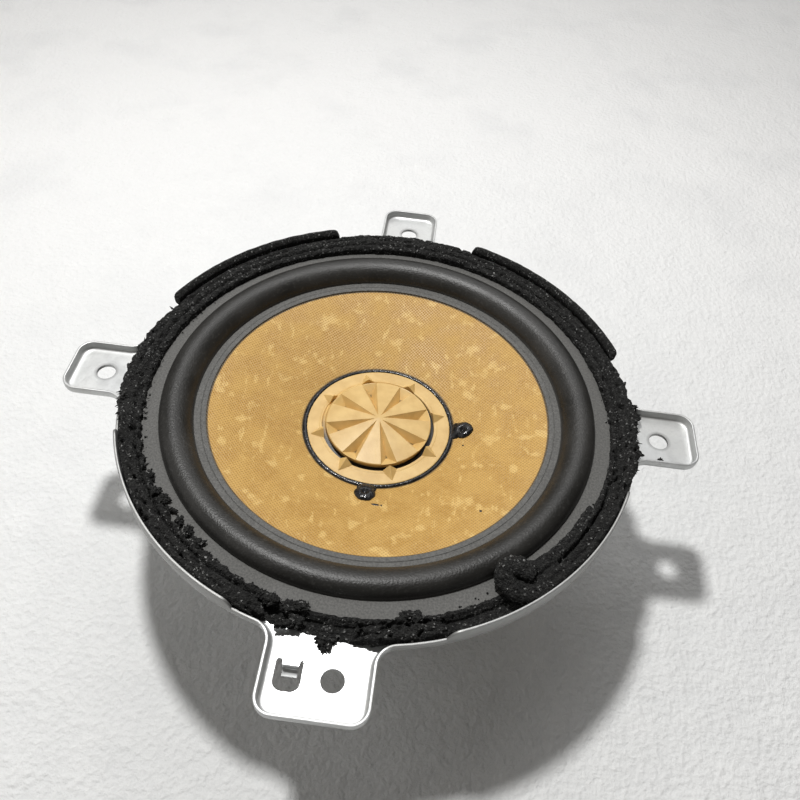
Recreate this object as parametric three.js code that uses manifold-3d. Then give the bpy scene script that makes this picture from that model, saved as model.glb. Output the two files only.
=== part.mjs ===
// Six and a half inch car door speaker: pressed steel basket with four mounting tabs, foam gasket,
// rubber surround, shallow woven cone with a moulded dust cap, and a ring-magnet motor behind.
// Millimetres. +Z is the way the cone faces; the origin is the centre of the magnet's back face.
// +X runs through the hole of one narrow tab, and -Y through the round hole of the wide tab.
import * as THREE from "three";
import { ConvexGeometry } from "three/addons/geometries/ConvexGeometry.js";
import { mergeVertices } from "three/addons/utils/BufferGeometryUtils.js";
import Module from "manifold-3d";

const wasm = await Module();
wasm.setup();

// ---- Driving dimensions ----
const FACETS = 48; // facets round the axis, the same on every turned piece, so that nested pieces line up
const SMALL_FACETS = 16; // round rivets, eyelets and glue
const SHEET = 1.0; // steel sheet of the basket
const FIT = 0.3; // clearance between touching pieces whose faces aren't level

const PLATE_TOP = 57.4; // mounting plate and tabs, top face
const LEDGE_TOP = 59.4; // raised ring that the surround is cemented on
const FLANGE_TOP = 60.0; // surround's outer flange, top face
const RIM_R = 82.5; // outside of the upturned rim between the tabs
const RIM_TOP = 63.4;
const RIM_ARCS = [[22, 71], [109, 157], [198, 249], [290, 343]]; // degrees

const HOLE_CIRCLE_R = 91.1;
const HOLE_R = 3.0;
const TAB_END = 102.5;
const TAB_LIP_TOP = 60.2;
const TAB_CORNER = 5;
const TAB_FILLET = 5.5;
const NARROW_TAB = [-10.6, 10.6];
const WIDE_TAB = [-18.6, 10.7];
const TABS = [[0, NARROW_TAB], [90, NARROW_TAB], [180, NARROW_TAB], [270, WIDE_TAB]];
const SLOT = { along: [-15, -8], across: [87.2, 95.2] }; // beside the wide tab's round hole

const BASE_Z = 25; // basket's base, on the motor's top plate
const SPIDER_LEDGE_TOP = 36;
const WALL_TOP = [68.4, 57.4]; // inner face of the sloping wall: radius, height
const WALL_FOOT = [46.6, 36.9];
const WINDOWS = 8;
const WINDOW_WIDTH = 19;
const WINDOW_Z = [41, 53.5];
const WINDOW_PHASE = -21; // degrees

const MAGNET_R = 42.5;
const PLATE_R = 40;
const MAGNET_Z = [5, 20];
const POLE_R = 15.5;
const VENT_R = 5;
const COIL_GAP_R = 17.7;
const RIVET_CIRCLE_R = 30;
const RIVETS = 4;
const RIVET_PHASE = 45; // degrees
const RIVET_R = 1.75;
const RIVET_DEPTH = 3.7; // in the front plate

const CONE_EDGE = [55.4, 57.4]; // top face of the cone where the surround's inner flange starts
const CONE_RIM_R = 59.2;
const CAP_EDGE = [24.0, 46.8]; // top face of the cone under the dust cap's edge
const CONE_SHEET = 0.8;
const NECK_R = 17.0;

const CAP_FLANGE_TOP = 47.5;
const CAP_RIM = [17.6, 49.0];
const CAP_APEX_Z = 51.5;
const CAP_STARS = 8;
const CAP_PHASE = 18.5; // degrees

const ROLL = { middle: 64.5, halfWidth: 5.2, height: 4.7, z: 59.0, rise: 1.0, sheet: 0.6 };
const SURROUND_INNER_R = 55.5;
const SURROUND_OUTER_R = 75.5;

const FOAM = { inner: 74, foot: 76.3, outer: 81.2, top: 63 };
const FOAM_ARC = [-47, 254]; // degrees that the foam still covers in one piece
const FOAM_REST_ARC = [274, 290];
const FOAM_REST_TOP = 62;

const FORMER_R = [16.1, 16.4];
const EYELET_R = 28.4;
const EYELETS = [3, -90]; // degrees
// Radii, and depths below the face of the cone.
const EYELET = { bore: 0.7, barrel: 1.3, collar: 2.2, top: 0.3, bottom: 2.3, sheet: 0.4 };
const TERMINAL_AZIMUTH = -43.5;

// ---- Colours ----
function finish(color, roughness, metalness) {
  return new THREE.MeshStandardMaterial({ color, roughness, metalness });
}
const ZINC = finish(0xc4c6c6, 0.4, 0.9);
const DARK_STEEL = finish(0x4b4c4d, 0.5, 0.8);
const FERRITE = finish(0x2b2b2c, 0.8, 0.1);
const RUBBER = finish(0x45433f, 0.7, 0);
const FOAM_BLACK = finish(0x1e1e1d, 0.95, 0);
const GOLD_CLOTH = finish(0xc9a468, 0.6, 0.1);
const GOLD_MOULDING = finish(0xe0c48c, 0.5, 0.1);
const GLUE = finish(0x0c0c0b, 0.2, 0);
const BRASS = finish(0xb08d3c, 0.4, 0.9);
const COPPER = finish(0xa65a34, 0.45, 0.8);
const ALUMINIUM = finish(0xb9bbbd, 0.4, 0.9);
const TREATED_CLOTH = finish(0xb58a4a, 0.9, 0);
const PHENOLIC = finish(0x5a3a22, 0.7, 0);

// ---- Shaping ----
const radians = THREE.MathUtils.degToRad;

function solidOf(geometry) {
  const bare = geometry.clone();
  bare.deleteAttribute("normal");
  bare.deleteAttribute("uv");
  const merged = mergeVertices(bare, 1e-4);
  return new wasm.Manifold(new wasm.Mesh({
    numProp: 3,
    vertProperties: Float32Array.from(merged.attributes.position.array),
    triVerts: Uint32Array.from(merged.index.array),
  }));
}

function geometryOf(solid) {
  const mesh = solid.asOriginal().simplify(1e-4).getMesh();
  const geometry = new THREE.BufferGeometry();
  geometry.setAttribute("position", new THREE.BufferAttribute(mesh.vertProperties, 3));
  geometry.setIndex(new THREE.BufferAttribute(mesh.triVerts, 1));
  geometry.computeVertexNormals();
  return geometry;
}

// A turned piece. The profile is a list of [radius, height], up the outside and down the inside.
function turned(profile, facets = FACETS) {
  const open = profile[0][0] > 0;
  const points = open ? [...profile, profile[0]] : profile;
  const lathe = new THREE.LatheGeometry(points.map(([r, z]) => new THREE.Vector2(r, z)), facets);
  return lathe.rotateX(Math.PI / 2);
}

function ring(inner, outer, bottom, top, facets = FACETS) {
  return turned([[inner, bottom], [outer, bottom], [outer, top], [inner, top]], facets);
}

function disc(radius, bottom, top, facets = 24) {
  return turned([[0, bottom], [radius, bottom], [radius, top], [0, top]], facets);
}

function raised(shape, bottom, top) {
  const geometry = new THREE.ExtrudeGeometry(shape, {
    depth: top - bottom, bevelEnabled: false, curveSegments: 5,
  });
  return geometry.translate(0, 0, bottom);
}

// A pie slice from one azimuth to the other, for keeping part of a ring.
function slice(from, to, bottom, top) {
  const reach = 130;
  const steps = Math.ceil((to - from) / 30);
  const shape = new THREE.Shape();
  shape.moveTo(0, 0);
  for (let i = 0; i <= steps; i++) {
    const angle = radians(from + ((to - from) * i) / steps);
    shape.lineTo(reach * Math.cos(angle), reach * Math.sin(angle));
  }
  return raised(shape, bottom, top);
}

function polar(radius, azimuth, z) {
  const angle = radians(azimuth);
  return new THREE.Vector3(radius * Math.cos(angle), radius * Math.sin(angle), z);
}

function atAzimuth(geometry, azimuth) {
  return geometry.rotateZ(radians(azimuth));
}

// ---- Assembly ----
const group = new THREE.Group();

function add(name, geometry, material, parent = group) {
  const mesh = new THREE.Mesh(geometry, material);
  mesh.name = name;
  parent.add(mesh);
  return mesh;
}

// ---- Basket: one pressing, with a rim and tab edges turned up, and windows through its wall ----

// A tab that points along +X, from inside the rim out to its end. grow moves the outline outwards.
function tabShape([low, high], grow) {
  const end = TAB_END + grow;
  const corner = TAB_CORNER + grow;
  const fillet = TAB_FILLET - grow;
  const sides = [low - grow, high + grow];
  const roots = sides.map((side) => Math.sqrt(RIM_R ** 2 - (Math.abs(side) + fillet) ** 2) + grow);
  const inside = 72;
  const shape = new THREE.Shape();
  shape.moveTo(inside, sides[0] - fillet);
  shape.lineTo(roots[0], sides[0] - fillet);
  shape.absarc(roots[0] + fillet, sides[0] - fillet, fillet, Math.PI, Math.PI / 2, true);
  shape.absarc(end - corner, sides[0] + corner, corner, -Math.PI / 2, 0, false);
  shape.absarc(end - corner, sides[1] - corner, corner, 0, Math.PI / 2, false);
  shape.absarc(roots[1] + fillet, sides[1] + fillet, fillet, -Math.PI / 2, -Math.PI, true);
  shape.lineTo(inside, sides[1] + fillet);
  shape.closePath();
  return shape;
}

function basket() {
  const wallSlope = Math.atan2(WALL_TOP[1] - WALL_FOOT[1], WALL_TOP[0] - WALL_FOOT[0]);
  const outside = ([r, z]) => [r + SHEET * Math.sin(wallSlope), z - SHEET * Math.cos(wallSlope)];
  const plateBottom = PLATE_TOP - SHEET;
  const ledgeBottom = LEDGE_TOP - SHEET;
  let body = solidOf(turned([
    [RIM_R, plateBottom], [RIM_R, PLATE_TOP], [76, PLATE_TOP], [75.8, LEDGE_TOP], [69.6, LEDGE_TOP],
    WALL_TOP, WALL_FOOT, [45.6, SPIDER_LEDGE_TOP], [38.6, SPIDER_LEDGE_TOP], [37.2, 34.6],
    [35.4, BASE_Z + SHEET], [21, BASE_Z + SHEET], [21, BASE_Z], [36.3, BASE_Z], [38.2, 34.2],
    [39.1, SPIDER_LEDGE_TOP - SHEET], [46, SPIDER_LEDGE_TOP - SHEET], outside(WALL_FOOT),
    outside(WALL_TOP), [70.4, ledgeBottom], [74.8, ledgeBottom], [75, plateBottom],
  ]));

  const rim = solidOf(ring(RIM_R - SHEET, RIM_R, plateBottom, RIM_TOP));
  for (const [from, to] of RIM_ARCS) {
    body = body.add(rim.intersect(solidOf(slice(from, to, plateBottom - 1, RIM_TOP + 1))));
  }

  const insideRim = solidOf(disc(RIM_R - SHEET, PLATE_TOP, RIM_TOP + 1, FACETS));
  for (const [azimuth, widths] of TABS) {
    const whole = solidOf(atAzimuth(raised(tabShape(widths, 0), plateBottom, TAB_LIP_TOP), azimuth));
    const hollow = solidOf(atAzimuth(raised(tabShape(widths, -SHEET), PLATE_TOP, RIM_TOP), azimuth));
    const hole = disc(HOLE_R, plateBottom - 1, RIM_TOP).translate(HOLE_CIRCLE_R, 0, 0);
    const tab = whole.subtract(hollow).subtract(insideRim).subtract(solidOf(atAzimuth(hole, azimuth)));
    body = body.add(tab);
  }

  const slotShape = new THREE.Shape();
  const [slotLeft, slotRight] = SLOT.along;
  const [slotTop, slotEnd] = SLOT.across;
  const slotCorner = 2.5;
  slotShape.moveTo(slotLeft, -slotTop);
  slotShape.absarc(slotLeft + slotCorner, -slotEnd + slotCorner, slotCorner, Math.PI, 1.5 * Math.PI, false);
  slotShape.absarc(slotRight - slotCorner, -slotEnd + slotCorner, slotCorner, -Math.PI / 2, 0, false);
  slotShape.lineTo(slotRight, -slotTop);
  slotShape.closePath();
  body = body.subtract(solidOf(raised(slotShape, plateBottom - 1, RIM_TOP)));

  for (let i = 0; i < WINDOWS; i++) {
    const [low, high] = WINDOW_Z;
    const cut = new THREE.BoxGeometry(36, WINDOW_WIDTH, high - low).translate(58, 0, (low + high) / 2);
    body = body.subtract(solidOf(atAzimuth(cut, WINDOW_PHASE + (360 / WINDOWS) * i)));
  }

  for (let i = 0; i < RIVETS; i++) {
    const hole = disc(RIVET_R + FIT, BASE_Z - 1, BASE_Z + 2).translate(RIVET_CIRCLE_R, 0, 0);
    body = body.subtract(solidOf(atAzimuth(hole, RIVET_PHASE + (360 / RIVETS) * i)));
  }
  for (const side of [-1, 1]) {
    body = body.subtract(solidOf(onTerminal(disc(1.6, -4, 4), 0, side * TERMINAL_SPACING, 0)));
  }
  return geometryOf(body);
}

// ---- Terminal strut: places a piece against the outside of the sloping wall ----
const TERMINAL_SPACING = 7.5; // from the middle of the board to each blade
const TERMINAL_R = 58.2;
const TERMINAL_Z = 46.4;
const WALL_TILT = 43.2; // degrees that the wall leans out from level

// out is away from the wall, side is round the basket, and along is up the wall.
function onTerminal(geometry, out, side, along) {
  return geometry
    .translate(along, side, -out)
    .rotateY(-radians(WALL_TILT))
    .translate(TERMINAL_R, 0, TERMINAL_Z)
    .rotateZ(radians(TERMINAL_AZIMUTH));
}

add("basket", basket(), ZINC);

// ---- Motor ----
add("back_plate", turned([
  [VENT_R, 0], [PLATE_R, 0], [PLATE_R, MAGNET_Z[0]], [POLE_R, MAGNET_Z[0]], [POLE_R, BASE_Z],
  [VENT_R, BASE_Z],
]), DARK_STEEL);
add("ring_magnet", ring(22, MAGNET_R, ...MAGNET_Z), FERRITE);
add("vent_screen", disc(VENT_R - FIT, 1.2, 1.8), DARK_STEEL);

let topPlate = solidOf(ring(COIL_GAP_R, PLATE_R, MAGNET_Z[1], BASE_Z));
for (let i = 0; i < RIVETS; i++) {
  const azimuth = RIVET_PHASE + (360 / RIVETS) * i;
  const foot = BASE_Z - RIVET_DEPTH;
  const head = BASE_Z + SHEET;
  const hole = disc(RIVET_R + FIT, foot - FIT, BASE_Z + 1).translate(RIVET_CIRCLE_R, 0, 0);
  topPlate = topPlate.subtract(solidOf(atAzimuth(hole, azimuth)));
  const rivet = turned([
    [0, foot], [RIVET_R, foot], [RIVET_R, head], [3.2, head], [2.8, head + 1.2], [0, head + 1.4],
  ], SMALL_FACETS).translate(RIVET_CIRCLE_R, 0, 0);
  add(`basket_rivet_${i + 1}`, atAzimuth(rivet, azimuth), ZINC);
}
add("top_plate", geometryOf(topPlate), DARK_STEEL);

// ---- Moving system ----
const coneBack = ([r, z]) => [r, z - CONE_SHEET];
let cone = solidOf(turned([
  coneBack([NECK_R, 44.4]), coneBack(CAP_EDGE), coneBack(CONE_EDGE), coneBack([CONE_RIM_R, CONE_EDGE[1]]),
  [CONE_RIM_R, CONE_EDGE[1]], CONE_EDGE, CAP_EDGE, [NECK_R, 44.4],
]));
const coneSlope = Math.atan2(CONE_EDGE[1] - CAP_EDGE[1], CONE_EDGE[0] - CAP_EDGE[0]);
const coneTopAt = (r) => CAP_EDGE[1] + (r - CAP_EDGE[0]) * Math.tan(coneSlope);

EYELETS.forEach((azimuth, i) => {
  const middle = coneTopAt(EYELET_R);
  const hole = disc(EYELET.barrel + FIT, middle - 5, middle + 5, SMALL_FACETS).translate(EYELET_R, 0, 0);
  cone = cone.subtract(solidOf(atAzimuth(hole, azimuth)));
  const collarTop = middle - EYELET.bottom + EYELET.sheet;
  const eyelet = turned([
    [EYELET.bore, middle - EYELET.bottom], [EYELET.collar, middle - EYELET.bottom],
    [EYELET.collar, collarTop], [EYELET.barrel, collarTop], [EYELET.barrel, middle - EYELET.top],
    [EYELET.bore, middle - EYELET.top],
  ], SMALL_FACETS).translate(EYELET_R, 0, 0);
  add(`lead_eyelet_${i + 1}`, atAzimuth(eyelet, azimuth), BRASS);
  const blob = turned([[0, 0.2], [3.5, 0.2], [3.2, 1.2], [1.9, 1.9], [0, 2.1]], SMALL_FACETS)
    .rotateY(-coneSlope).translate(EYELET_R, 0, middle);
  add(`lead_glue_${i + 1}`, atAzimuth(blob, azimuth), GLUE);
});
add("cone", geometryOf(cone), GOLD_CLOTH);

function dustCap() {
  const underside = CAP_EDGE[1] + 0.1;
  let body = solidOf(turned([
    [0, 49], [15.6, underside + 0.2], [16.2, underside], [CAP_EDGE[0], underside],
    [CAP_EDGE[0], CAP_FLANGE_TOP], [CAP_RIM[0], CAP_FLANGE_TOP], CAP_RIM, [0, CAP_APEX_Z],
  ]));
  const point = (r, side, z) => new THREE.Vector3(r, side, z);
  for (let i = 0; i < CAP_STARS; i++) {
    const azimuth = CAP_PHASE + (360 / CAP_STARS) * i;
    const groove = new ConvexGeometry([
      point(1.5, 0, CAP_APEX_Z + 0.3), point(14.4, 0, CAP_RIM[1] - 1.0),
      point(18, 2.4, CAP_RIM[1] + 0.5), point(18, -2.4, CAP_RIM[1] + 0.5),
    ]);
    const spike = new ConvexGeometry([
      point(17.3, -2.4, CAP_FLANGE_TOP - 0.2), point(17.3, 2.4, CAP_FLANGE_TOP - 0.2),
      point(17.3, 0, CAP_RIM[1] - 0.1), point(22, 0, CAP_FLANGE_TOP - 0.2),
    ]);
    body = body.subtract(solidOf(atAzimuth(groove, azimuth))).add(solidOf(atAzimuth(spike, azimuth)));
  }
  return geometryOf(body);
}
add("dust_cap", dustCap(), GOLD_MOULDING);

add("cap_glue_ring", turned([
  [24.2, coneTopAt(24.2) + 0.1], [24.8, coneTopAt(24.8) + 0.1], [24.6, 47.7], [24.2, 47.8],
]), GLUE);
add("neck_glue", turned([[16.5, 44.7], [18.2, 45.2], [16.5, 46]]), GLUE);
add("coil_former", ring(...FORMER_R, 17.5, 46), ALUMINIUM);
add("voice_coil", ring(FORMER_R[1] + 0.05, 17.2, 17.5, 27.5), COPPER);
add("spider_glue", ring(FORMER_R[1] + 0.05, 17.5, 35.6, 37), GLUE);

function spider() {
  const sheet = 0.5;
  const top = SPIDER_LEDGE_TOP + sheet;
  const waves = 4;
  const waveHeight = 1.3;
  const [inner, start, end, outer] = [17.6, 19.5, 38, 44.5];
  const face = [[inner, top], [start, top]];
  for (let i = 1; i < 2 * waves; i++) {
    const lift = i % 2 ? waveHeight : -waveHeight;
    face.push([start + ((end - start) * i) / (2 * waves), top + lift]);
  }
  face.push([end, top], [outer, top]);
  const back = face.map(([r, z]) => [r, z - sheet]);
  return turned([...back, ...face.reverse()]);
}
add("spider", spider(), TREATED_CLOTH);

// ---- Surround: a half roll between two flat flanges ----
function surround() {
  const roll = (shrink) => {
    const points = [];
    const steps = 6;
    for (let i = 0; i <= steps; i++) {
      const angle = Math.PI * (1 - i / steps);
      const lift = (ROLL.height - shrink) * Math.sin(angle);
      const radius = ROLL.middle + (ROLL.halfWidth - shrink) * Math.cos(angle);
      points.push([radius, ROLL.z + ROLL.rise * Math.cos(angle) + lift]);
    }
    return points;
  };
  const upper = roll(0);
  const lower = roll(ROLL.sheet).map(([r, z], i, all) => {
    const foot = i === 0 ? CONE_EDGE[1] : LEDGE_TOP;
    return [r, i === 0 || i === all.length - 1 ? foot : z];
  });
  const face = [[SURROUND_INNER_R, upper[0][1]], ...upper, [SURROUND_OUTER_R, FLANGE_TOP]];
  const back = [[SURROUND_INNER_R, CONE_EDGE[1]], ...lower, [SURROUND_OUTER_R, LEDGE_TOP]];
  return turned([...back, ...face.reverse()]);
}
add("surround", surround(), RUBBER);

// ---- Foam gasket on the plate, torn open towards the wide tab ----
const foamRing = (top) => solidOf(turned([
  [FOAM.foot, PLATE_TOP], [FOAM.outer, PLATE_TOP], [FOAM.outer, top], [FOAM.inner, top],
  [FOAM.inner, FLANGE_TOP], [FOAM.foot, FLANGE_TOP],
]));
const foamPiece = (arc, top) => {
  const kept = solidOf(slice(...arc, PLATE_TOP - 1, top + 1));
  return geometryOf(foamRing(top).intersect(kept));
};
add("foam_gasket", foamPiece(FOAM_ARC, FOAM.top), FOAM_BLACK);
add("foam_remnant", foamPiece(FOAM_REST_ARC, FOAM_REST_TOP), FOAM_BLACK);

// The torn end is folded back in a hook, and its free end lies on the surround's roll.
function tornStrip() {
  const route = new THREE.CatmullRomCurve3([
    new THREE.Vector3(51.0, -58.8, 62.0), new THREE.Vector3(46.2, -60.4, 62.6),
    new THREE.Vector3(42.2, -57.8, 64.4), new THREE.Vector3(41.8, -53.2, 66.2),
    new THREE.Vector3(44.8, -49.6, 66.8),
  ]);
  const half = 1.8;
  const section = new THREE.Shape();
  section.moveTo(-half, -half);
  section.lineTo(half, -half);
  section.lineTo(half, half);
  section.lineTo(-half, half);
  section.closePath();
  return new THREE.ExtrudeGeometry(section, { steps: 16, extrudePath: route, bevelEnabled: false });
}
add("foam_torn_strip", tornStrip(), FOAM_BLACK);

// ---- Terminal board, blades, rivets and the two tinsel leads to the cone ----
const BOARD = { out: FIT, thick: 2, width: 27, height: 13 };
let board = solidOf(onTerminal(
  new THREE.BoxGeometry(BOARD.height, BOARD.width, BOARD.thick), BOARD.out + BOARD.thick / 2, 0, 0));
const BLADE_OUT = BOARD.out + BOARD.thick;
const BLADE_THICK = 0.8;
const BLADE_TIP = -15; // down the wall from the rivet
const BLADE_TAG = { from: 1.5, to: 4.5, out: 6.2 }; // solder tag beside the rivet
const BLADES = [["terminal_blade_wide", 1, 6.3], ["terminal_blade_narrow", -1, 4.8]];

for (const [name, side, width] of BLADES) {
  const hole = () => solidOf(onTerminal(disc(1.5, -8, 8), 0, side * TERMINAL_SPACING, 0));
  board = board.subtract(hole());
  const shape = new THREE.Shape();
  const half = width / 2;
  const [left, right] = side > 0 ? [-half, BLADE_TAG.out] : [-BLADE_TAG.out, half];
  shape.moveTo(BLADE_TAG.to, left);
  shape.lineTo(BLADE_TAG.to, right);
  shape.lineTo(BLADE_TAG.from, right);
  shape.lineTo(BLADE_TAG.from, half);
  shape.lineTo(BLADE_TIP + 1, half);
  shape.lineTo(BLADE_TIP, half - 1);
  shape.lineTo(BLADE_TIP, 1 - half);
  shape.lineTo(BLADE_TIP + 1, -half);
  shape.lineTo(BLADE_TAG.from, -half);
  shape.lineTo(BLADE_TAG.from, left);
  shape.closePath();
  const blade = raised(shape, -BLADE_OUT - BLADE_THICK, -BLADE_OUT);
  const placed = solidOf(onTerminal(blade, 0, side * TERMINAL_SPACING, 0));
  add(name, geometryOf(placed.subtract(hole())), BRASS);

  const rivet = turned([[0, -4.2], [2.1, -4.1], [2.1, -3.15], [1.2, -3.15], [1.2, 1.9], [2.1, 1.9],
    [2.0, 2.8], [0, 2.9]], 16);
  add(name.replace("blade", "rivet"), onTerminal(rivet, 0, side * TERMINAL_SPACING, 0), BRASS);
}
add("terminal_board", geometryOf(board), PHENOLIC);

// Each lead leaves its blade's tag, passes through the window beside the board, and hangs below the cone.
// Radius, azimuth for the lead to the first eyelet, height.
const LEAD_ROUTE = [
  [62.9, -30.6, 46.2], [60.2, -28.9, 47.0], [56.6, -27.2, 47.4], [51.6, -24.2, 46.6],
  [45.4, -18.4, 44.6], [38.6, -9.6, 43.2], [32.4, -1.2, 43.9], [EYELET_R, 3, 45.6],
];
function lead(mirrored) {
  const route = LEAD_ROUTE.map(([r, azimuth, z]) =>
    polar(r, mirrored ? 2 * TERMINAL_AZIMUTH - azimuth : azimuth, z));
  const section = new THREE.Shape().absarc(0, 0, 0.6, 0, 2 * Math.PI);
  const curve = new THREE.CatmullRomCurve3(route);
  return new THREE.ExtrudeGeometry(section, {
    steps: 20, curveSegments: 4, extrudePath: curve, bevelEnabled: false,
  });
}
add("tinsel_lead_1", lead(false), COPPER);
add("tinsel_lead_2", lead(true), COPPER);

export default group;
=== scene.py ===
# A car door speaker lying on its magnet, face up, on a pale table. Metres, in the speaker's own frame:
# the origin is the middle of the magnet's back face, +Z is the way the cone faces.
import math
import random
import bmesh
import bpy
from mathutils import Matrix, Vector, noise
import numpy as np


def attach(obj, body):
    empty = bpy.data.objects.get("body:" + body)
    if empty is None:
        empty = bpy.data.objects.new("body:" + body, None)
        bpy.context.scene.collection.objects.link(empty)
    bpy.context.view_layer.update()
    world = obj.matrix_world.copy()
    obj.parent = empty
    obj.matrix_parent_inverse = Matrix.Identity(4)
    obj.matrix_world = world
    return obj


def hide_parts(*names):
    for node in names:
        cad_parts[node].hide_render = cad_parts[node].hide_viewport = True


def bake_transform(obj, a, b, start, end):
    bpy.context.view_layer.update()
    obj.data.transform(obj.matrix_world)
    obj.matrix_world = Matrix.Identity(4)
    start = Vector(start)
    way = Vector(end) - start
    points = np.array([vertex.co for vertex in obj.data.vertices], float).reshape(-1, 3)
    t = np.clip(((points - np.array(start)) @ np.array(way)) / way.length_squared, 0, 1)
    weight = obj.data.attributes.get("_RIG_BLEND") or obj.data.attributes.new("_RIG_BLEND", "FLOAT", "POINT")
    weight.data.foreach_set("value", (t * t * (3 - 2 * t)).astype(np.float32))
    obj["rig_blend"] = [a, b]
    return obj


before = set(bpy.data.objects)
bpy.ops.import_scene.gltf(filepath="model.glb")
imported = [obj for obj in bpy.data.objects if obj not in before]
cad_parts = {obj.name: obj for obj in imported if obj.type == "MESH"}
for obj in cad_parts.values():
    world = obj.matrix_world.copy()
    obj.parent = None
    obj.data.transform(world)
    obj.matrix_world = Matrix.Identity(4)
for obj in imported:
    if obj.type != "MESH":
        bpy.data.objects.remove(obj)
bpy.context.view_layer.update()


# ---- Camera, table and lamps ----
# A plain pale table, one small key lamp behind and to the left, and two wide soft lamps: the ceiling behind
# and a window to the left. The camera looks down from the front at fifty degrees.
MM = 0.001
EYE = Vector((13.44, -162.77, 253.48)) * MM
AIM = Vector((6.38, 1.5, 60)) * MM
CAMERA_ROLL = math.radians(5.31)
LENS_MM = 35.1


def looking(place, aim):
    """The matrix of a camera or lamp at one place that looks at another."""
    return Matrix.Translation(place) @ (aim - place).to_track_quat("-Z", "Y").to_matrix().to_4x4()


camera = bpy.data.objects.new("camera", bpy.data.cameras.new("camera"))
camera.data.lens = LENS_MM
camera.data.sensor_width = 36
camera.data.clip_start = 0.01
camera.matrix_world = looking(EYE, AIM) @ Matrix.Rotation(CAMERA_ROLL, 4, "Z")
bpy.context.collection.objects.link(camera)
bpy.context.scene.camera = camera


def lamp(name, place, aim, size, power, colour=(1, 1, 1)):
    """A round soft lamp: place and aim in millimetres, size in metres, power in watts."""
    light = bpy.data.lights.new(name, "AREA")
    light.shape = "DISK"
    light.size = size
    light.energy = power
    light.color = colour
    made = bpy.data.objects.new(name, light)
    made.matrix_world = looking(Vector(place) * MM, Vector(aim) * MM)
    bpy.context.collection.objects.link(made)


lamp("key_lamp", (-96, 120, 594), (0, 0, 50), 0.055, 2.75, (1, 0.995, 0.985))
lamp("ceiling_light", (60, 800, 860), (0, 100, 0), 1.0, 3.3)
lamp("side_window", (-940, -160, 540), (0, 0, 40), 1.3, 2.1, (1, 0.98, 0.95))

world = bpy.data.worlds.new("room")
world.use_nodes = True
world.node_tree.nodes["Background"].inputs["Color"].default_value = (1.0, 0.96, 0.91, 1)
world.node_tree.nodes["Background"].inputs["Strength"].default_value = 0.1
bpy.context.scene.world = world
bpy.context.scene.view_settings.view_transform = "Standard"


def socket(tree, value, target):
    """Link a socket, or set a plain value, on a node's input."""
    if isinstance(value, bpy.types.NodeSocket):
        tree.links.new(value, target)
    else:
        target.default_value = value


def node(tree, kind, settings=None, **inputs):
    """Add a shader node; inputs are named by their socket, or in_0, in_1 by their place."""
    made = tree.nodes.new("ShaderNode" + kind)
    for key, value in (settings or {}).items():
        setattr(made, key, value)
    for key, value in inputs.items():
        name = int(key[3:]) if key.startswith("in_") else key.replace("_", " ")
        socket(tree, value, made.inputs[name])
    return made


def shader(name, roughness, metallic=0.0):
    """A new material's tree, its Principled BSDF and its Object coordinates."""
    material = bpy.data.materials.new(name)
    material.use_nodes = True
    tree = material.node_tree
    surface = tree.nodes["Principled BSDF"]
    surface.inputs["Roughness"].default_value = roughness
    surface.inputs["Metallic"].default_value = metallic
    place = node(tree, "TexCoord").outputs["Object"]
    return material, tree, surface, place


def effect(name, *inputs):
    """An empty node group with a Vector input, the named number inputs and a Value output."""
    group = bpy.data.node_groups.new(name, "ShaderNodeTree")
    group.interface.new_socket(name="Vector", in_out="INPUT", socket_type="NodeSocketVector")
    for label in inputs:
        group.interface.new_socket(name=label, in_out="INPUT", socket_type="NodeSocketFloat")
    group.interface.new_socket(name="Value", in_out="OUTPUT", socket_type="NodeSocketFloat")
    given = group.nodes.new("NodeGroupInput").outputs
    return group, given, group.nodes.new("NodeGroupOutput").inputs["Value"]


# Grain: noise of a chosen scale, spread from 0 at Low to 1 at High.
GRAIN, given, result = effect("grain", "Scale", "Detail", "Low", "High")
field = node(GRAIN, "TexNoise", Vector=given["Vector"], Scale=given["Scale"], Detail=given["Detail"])
field = node(GRAIN, "MapRange", Value=field.outputs["Fac"], From_Min=given["Low"], From_Max=given["High"])
GRAIN.links.new(field.outputs[0], result)

# Weave: two crossed sets of slightly uneven threads, 1 on top of each thread and 0 between them.
WEAVE, given, result = effect("weave", "Scale", "Unevenness")
bands = [node(WEAVE, "TexWave", {"bands_direction": way}, Vector=given["Vector"], Scale=given["Scale"],
              Distortion=given["Unevenness"], Detail=2.0, Detail_Scale=1.5).outputs["Fac"]
         for way in ("X", "Y")]
field = node(WEAVE, "Math", {"operation": "MULTIPLY"}, in_0=bands[0], in_1=bands[1])
WEAVE.links.new(field.outputs[0], result)


def rough_noise(tree, place, size, detail=3.0, low=0.35, high=0.65):
    """Noise with blotches of about the given size in metres, spread from 0 to 1."""
    return node(tree, "Group", {"node_tree": GRAIN}, Vector=place, Scale=1 / size, Detail=detail, Low=low,
                High=high).outputs[0]


def woven(tree, place, pitch, unevenness):
    """Threads crossing at the given pitch in metres; a wave texture of scale 1 repeats every 0.314."""
    return node(tree, "Group", {"node_tree": WEAVE}, Vector=place, Scale=0.314 / pitch,
                Unevenness=unevenness).outputs[0]


def mixed(tree, mask, a, b):
    """Colour a where the mask is 0 and colour b where it is 1."""
    return node(tree, "Mix", {"data_type": "RGBA"}, in_0=mask, in_6=a, in_7=b).outputs[2]


def number(tree, operation, a, b=0.0):
    return node(tree, "Math", {"operation": operation}, in_0=a, in_1=b).outputs[0]


def spread(tree, value, low, high):
    """Turn a 0 to 1 value into one from low to high."""
    return node(tree, "MapRange", Value=value, To_Min=low, To_Max=high).outputs[0]


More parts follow.
